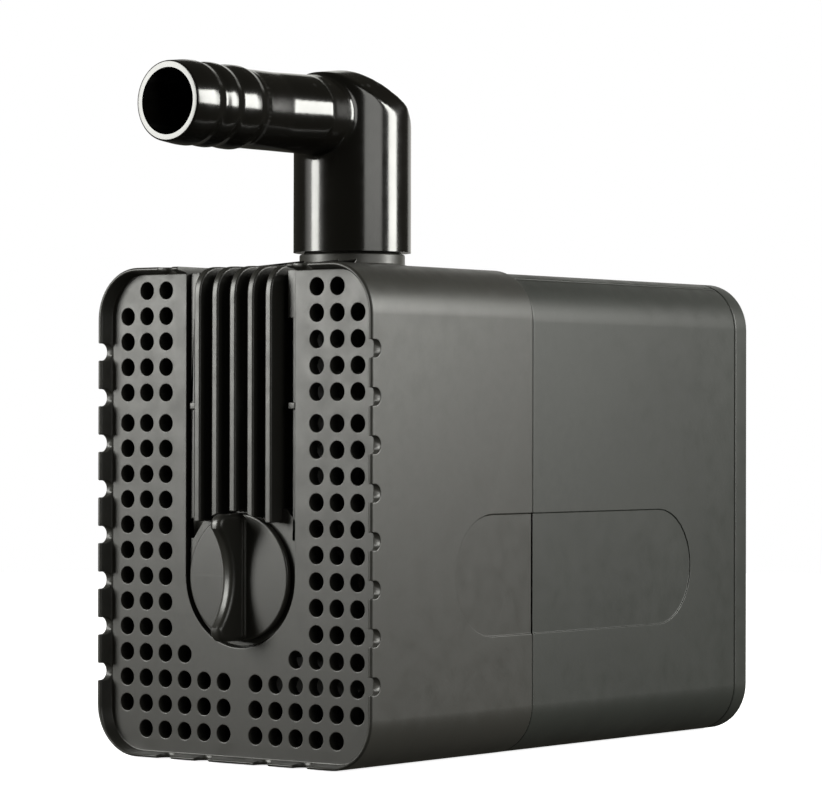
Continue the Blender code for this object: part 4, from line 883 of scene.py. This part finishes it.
def make_guard():
    top = GUARD_HIGH.z
    outline = [Vector((RIB_Y, RIB_FOOT_Z)), Vector((RIB_Y, top)), Vector((GUARD_BACK_Y, top)),
               Vector((GUARD_BACK_Y, BRIDGE_TOP_Z - 0.8 * MM)),
               Vector((BRIDGE_Y + 0.8 * MM, BRIDGE_TOP_Z - 0.8 * MM)),
               Vector((BRIDGE_Y + 0.8 * MM, RIB_FOOT_Z))]
    outline = softened(outline, [0.0, 5 * MM, 0.4 * MM, 0.0, 0.0, 0.0], 12)
    guard = prism("rib_guard", [Vector((BRIDGE_Y, RIB_BOTTOM_Z)), Vector((BRIDGE_Y, BRIDGE_TOP_Z)),
                                Vector((GUARD_BACK_Y, BRIDGE_TOP_Z)),
                                Vector((GUARD_BACK_Y, BRIDGE_TOP_Z - BRIDGE_THICKNESS)),
                                Vector((BRIDGE_Y + BRIDGE_THICKNESS, BRIDGE_TOP_Z - BRIDGE_THICKNESS)),
                                Vector((BRIDGE_Y + BRIDGE_THICKNESS, RIB_BOTTOM_Z))],
                  "X", -PLATE_HALF, PLATE_HALF)
    ribs = [prism(f"rib_{i}", outline, "X", (i - 2) * RIB_PITCH - RIB_HALF, (i - 2) * RIB_PITCH + RIB_HALF,
                  rims=(0.32 * MM, 0.32 * MM)) for i in range(5)]
    rails, strips, nubs = [], [], []
    for side in (-1, 1):
        low, high = span(side, RAIL_SPAN)
        rails.append(box(f"rail_{side}", (low, PLATE_Y, 68.4 * MM), (high, GUARD_BACK_Y, COVER_TOP - WALL / 2)))
        low, high = span(side, STRIP_SPAN)
        strips.append(box(f"strip_{side}", (low, PLATE_Y, PLATE_TOP_Z - 1.5 * MM),
                          (high, BRIDGE_Y + 1.5 * MM, 68.6 * MM)))
        low, high = span(side, NUB_SPAN)
        nubs.append(box(f"nub_{side}", (low, -49.6 * MM, 54.5 * MM), (high, BRIDGE_Y + 1.5 * MM, 55.5 * MM)))
    plate_outline = [Vector((PLATE_HALF, PLATE_CREST_Z - PLATE_BEVEL)),
                     Vector((PLATE_HALF - PLATE_BEVEL, PLATE_CREST_Z)),
                     Vector((-PLATE_HALF + PLATE_BEVEL, PLATE_CREST_Z)),
                     Vector((-PLATE_HALF, PLATE_CREST_Z - PLATE_BEVEL))]
    for k in range(33):
        angle = radians(180.0 + 180.0 * k / 32)
        plate_outline.append(Vector((PLATE_HALF * cos(angle), AXIS_Z + PLATE_HALF * sin(angle))))
    plate = prism("plate", plate_outline, "Y", PLATE_Y, PLATE_BACK_Y + 0.6 * MM)
    tower = rod("tower", 13 * MM, (0.0, PANEL_BACK_Y + GAP, AXIS_Z), 17.5 * MM, "Y", 96)
    flange = rod("flange", CHAMBER_RADIUS, (0.0, WELL_END_Y, AXIS_Z), 2.3 * MM, "Y", 96, rim=0.3 * MM)
    fuse(guard, *ribs, *rails, *strips, *nubs)
    carve(guard, *guard_hollows())
    fuse(tower, plate, flange)
    spindle_hole = rod("spindle_hole", 3.7 * MM, (0.0, PLATE_Y - OVER, AXIS_Z), 4 * MM, "Y", 48)
    ring = turned("inlet", [(3.9 * MM, 0.0), (8.6 * MM, 0.0), (8.6 * MM, 5 * MM), (3.9 * MM, 5 * MM)],
                  (0.0, -32.6 * MM, AXIS_Z), "Y", 64, closed=True)
    spoke = box("spoke", (-9.2 * MM, WELL_END_Y, AXIS_Z - 0.9 * MM),
                (9.2 * MM, -29.3 * MM, AXIS_Z + 0.9 * MM))
    cross = box("cross", (-0.9 * MM, WELL_END_Y, AXIS_Z - 9.2 * MM),
                (0.9 * MM, -29.3 * MM, AXIS_Z + 9.2 * MM))
    bearing_seat = rod("bearing_seat", 2.9 * MM, (0.0, -32.6 * MM, AXIS_Z), 5 * MM, "Y", 48)
    # One cut at a time: cut together with the others, a window once came out as a block.
    for side in (-1, 1):
        low, high = span(side, WINDOW_SPAN)
        carve(tower, box(f"window_{side}", (low, -45 * MM, AXIS_Z - 8 * MM), (high, -34 * MM, AXIS_Z + 8 * MM)))
    carve(tower, *guard_hollows(), spindle_hole, ring)
    fuse(tower, spoke, cross)
    carve(tower, bearing_seat)
    fuse(guard, tower)
    round_edges(guard, 0.14 * MM)
    finish_piece(guard, GUARD, "inner_black_plastic", "body", "intake_cover")


def make_dial():
    thickness = DIAL_BACK_Y - DIAL_FRONT_Y
    profile = softened([(0.0, 0.0), (DIAL_RADIUS, 0.0), (DIAL_RADIUS, thickness), (3.4 * MM, thickness),
                        (3.4 * MM, thickness + 5.4 * MM), (0.0, thickness + 5.4 * MM)],
                       [0.0, 0.35 * MM, 0.1 * MM, 0.0, 0.3 * MM, 0.0], 4, closed=False)
    disc = turned("dial_knob", profile, (0.0, DIAL_FRONT_Y, AXIS_Z), "Y", 96)
    reach = DIAL_RADIUS - 0.1 * MM
    front = DIAL_LOW.y
    foot_y = DIAL_FRONT_Y + 1.1 * MM
    outline = [Vector((foot_y, AXIS_Z + reach)), Vector((front + FIN_TIP_RADIUS, AXIS_Z + reach))]
    for k in range(7):
        angle = radians(90.0 * k / 6)
        outline.append(Vector((front + FIN_TIP_RADIUS - FIN_TIP_RADIUS * sin(angle),
                               AXIS_Z + reach - FIN_TIP_RADIUS + FIN_TIP_RADIUS * cos(angle))))
    for k in range(33):
        z = SCOOP_REACH * (1.0 - 2.0 * k / 32)
        bottom = front + SCOOP_DEPTH - SCOOP_RADIUS + (SCOOP_RADIUS ** 2 - z ** 2) ** 0.5
        outline.append(Vector((bottom, AXIS_Z + z)))
    for k in range(7):
        angle = radians(90.0 * k / 6)
        outline.append(Vector((front + FIN_TIP_RADIUS - FIN_TIP_RADIUS * cos(angle),
                               AXIS_Z - reach + FIN_TIP_RADIUS - FIN_TIP_RADIUS * sin(angle))))
    outline.append(Vector((foot_y, AXIS_Z - reach)))
    outline = list(dict.fromkeys((round(p.x, 7), round(p.y, 7)) for p in outline))
    fin = prism("fin", [Vector(p) for p in outline], "X", -FIN_HALF, FIN_HALF,
                rims=(0.85 * MM, 0.85 * MM), steps=6)
    foot = softened([Vector((-1.6 * MM, AXIS_Z - reach + 0.5 * MM)),
                     Vector((1.6 * MM, AXIS_Z - reach + 0.5 * MM)),
                     Vector((1.6 * MM, AXIS_Z + reach - 0.5 * MM)),
                     Vector((-1.6 * MM, AXIS_Z + reach - 0.5 * MM))], 0.5 * MM, 3)
    root = prism("root", foot, "Y", DIAL_FRONT_Y - 0.3 * MM, DIAL_FRONT_Y + 0.4 * MM, rims=(0.25 * MM, 0.0))
    fuse(disc, fin, root)
    groove = turned("groove", [(2.7 * MM, 0.0), (4.5 * MM, 0.0), (4.5 * MM, 1.0 * MM), (2.7 * MM, 1.0 * MM)],
                    (0.0, PLATE_BACK_Y + 0.15 * MM, AXIS_Z), "Y", 64, closed=True)
    carve(disc, groove)
    round_edges(disc, 0.18 * MM, 60.0, 3)
    finish_piece(disc, DIAL, "dial_black_plastic", "dial", "flow_dial")


make_strainer()
make_housing()
make_rear_cap()
make_gland()
make_chamber()
make_elbow()
make_guard()
make_dial()
finish_cad_nodes()


# ------------------------------------------------------ floor, light, world

def softbox(name, azimuth, elevation, distance, width, height, brightness):
    """A rectangular light aimed at the pump. Its brightness is its radiance."""
    target = Vector((0.0, 0.0, 50 * MM))
    turn, lift = radians(azimuth), radians(elevation)
    back = Vector((sin(turn) * cos(lift), -cos(turn) * cos(lift), sin(lift)))
    data = bpy.data.lights.new(name, "AREA")
    data.shape = "RECTANGLE"
    data.size = width
    data.size_y = height
    data.energy = brightness * pi * width * height
    data.color = (1.0, 1.0, 0.95)
    made = bpy.data.objects.new(name, data)
    made.location = target + back * distance
    made.rotation_mode = "QUATERNION"
    made.rotation_quaternion = back.to_track_quat("Z", "Y")
    made.visible_camera = False
    bpy.context.scene.collection.objects.link(made)


def make_stage():
    softbox("left_key", -37.0, 16.0, 0.48, 0.14, 0.27, 16.0)
    for number, width in enumerate((0.20, 0.27, 0.35, 0.44)):
        softbox(f"left_glow_{number}", -42.0, 16.0, 0.50 + 0.01 * number, width, 0.27, 0.6)
    softbox("right_key", 122.0, 17.0, 0.48, 0.18, 0.24, 21.0)
    softbox("right_fill", 78.0, 17.0, 0.56, 0.36, 0.26, 3.8)
    softbox("back_fill", -160.0, 15.0, 0.9, 0.7, 0.5, 0.9)
    world = bpy.data.worlds.new("studio")
    bpy.context.scene.world = world
    world.use_nodes = True
    tree = world.node_tree
    dim = tree.nodes["Background"]
    dim.inputs["Color"].default_value = (1.0, 0.96, 0.80, 1.0)
    dim.inputs["Strength"].default_value = 0.06
    backdrop = tree.nodes.new("ShaderNodeBackground")
    backdrop.inputs["Color"].default_value = (1.0, 1.0, 1.0, 1.0)
    path = tree.nodes.new("ShaderNodeLightPath")
    choice = tree.nodes.new("ShaderNodeMixShader")
    tree.links.new(path.outputs["Is Camera Ray"], choice.inputs[0])
    tree.links.new(dim.outputs[0], choice.inputs[1])
    tree.links.new(backdrop.outputs[0], choice.inputs[2])
    tree.links.new(choice.outputs[0], tree.nodes["World Output"].inputs["Surface"])
    bpy.context.scene.view_settings.view_transform = "Standard"

    nodes = Nodes("pale_floor")
    nodes.shader.inputs["Base Color"].default_value = (0.8, 0.8, 0.8, 1.0)
    nodes.shader.inputs["Roughness"].default_value = 0.9
    nodes.shader.inputs["Emission Color"].default_value = (1.0, 1.0, 1.0, 1.0)
    nodes.shader.inputs["Emission Strength"].default_value = 0.88
    floor = turned("floor", [(0.0, 0.0), (0.7, 0.0)], (0.0, 0.0, -0.0002), "Z", 64)
    floor.data.materials.append(nodes.material)
    floor.visible_diffuse = False
    floor.visible_glossy = False


make_stage()
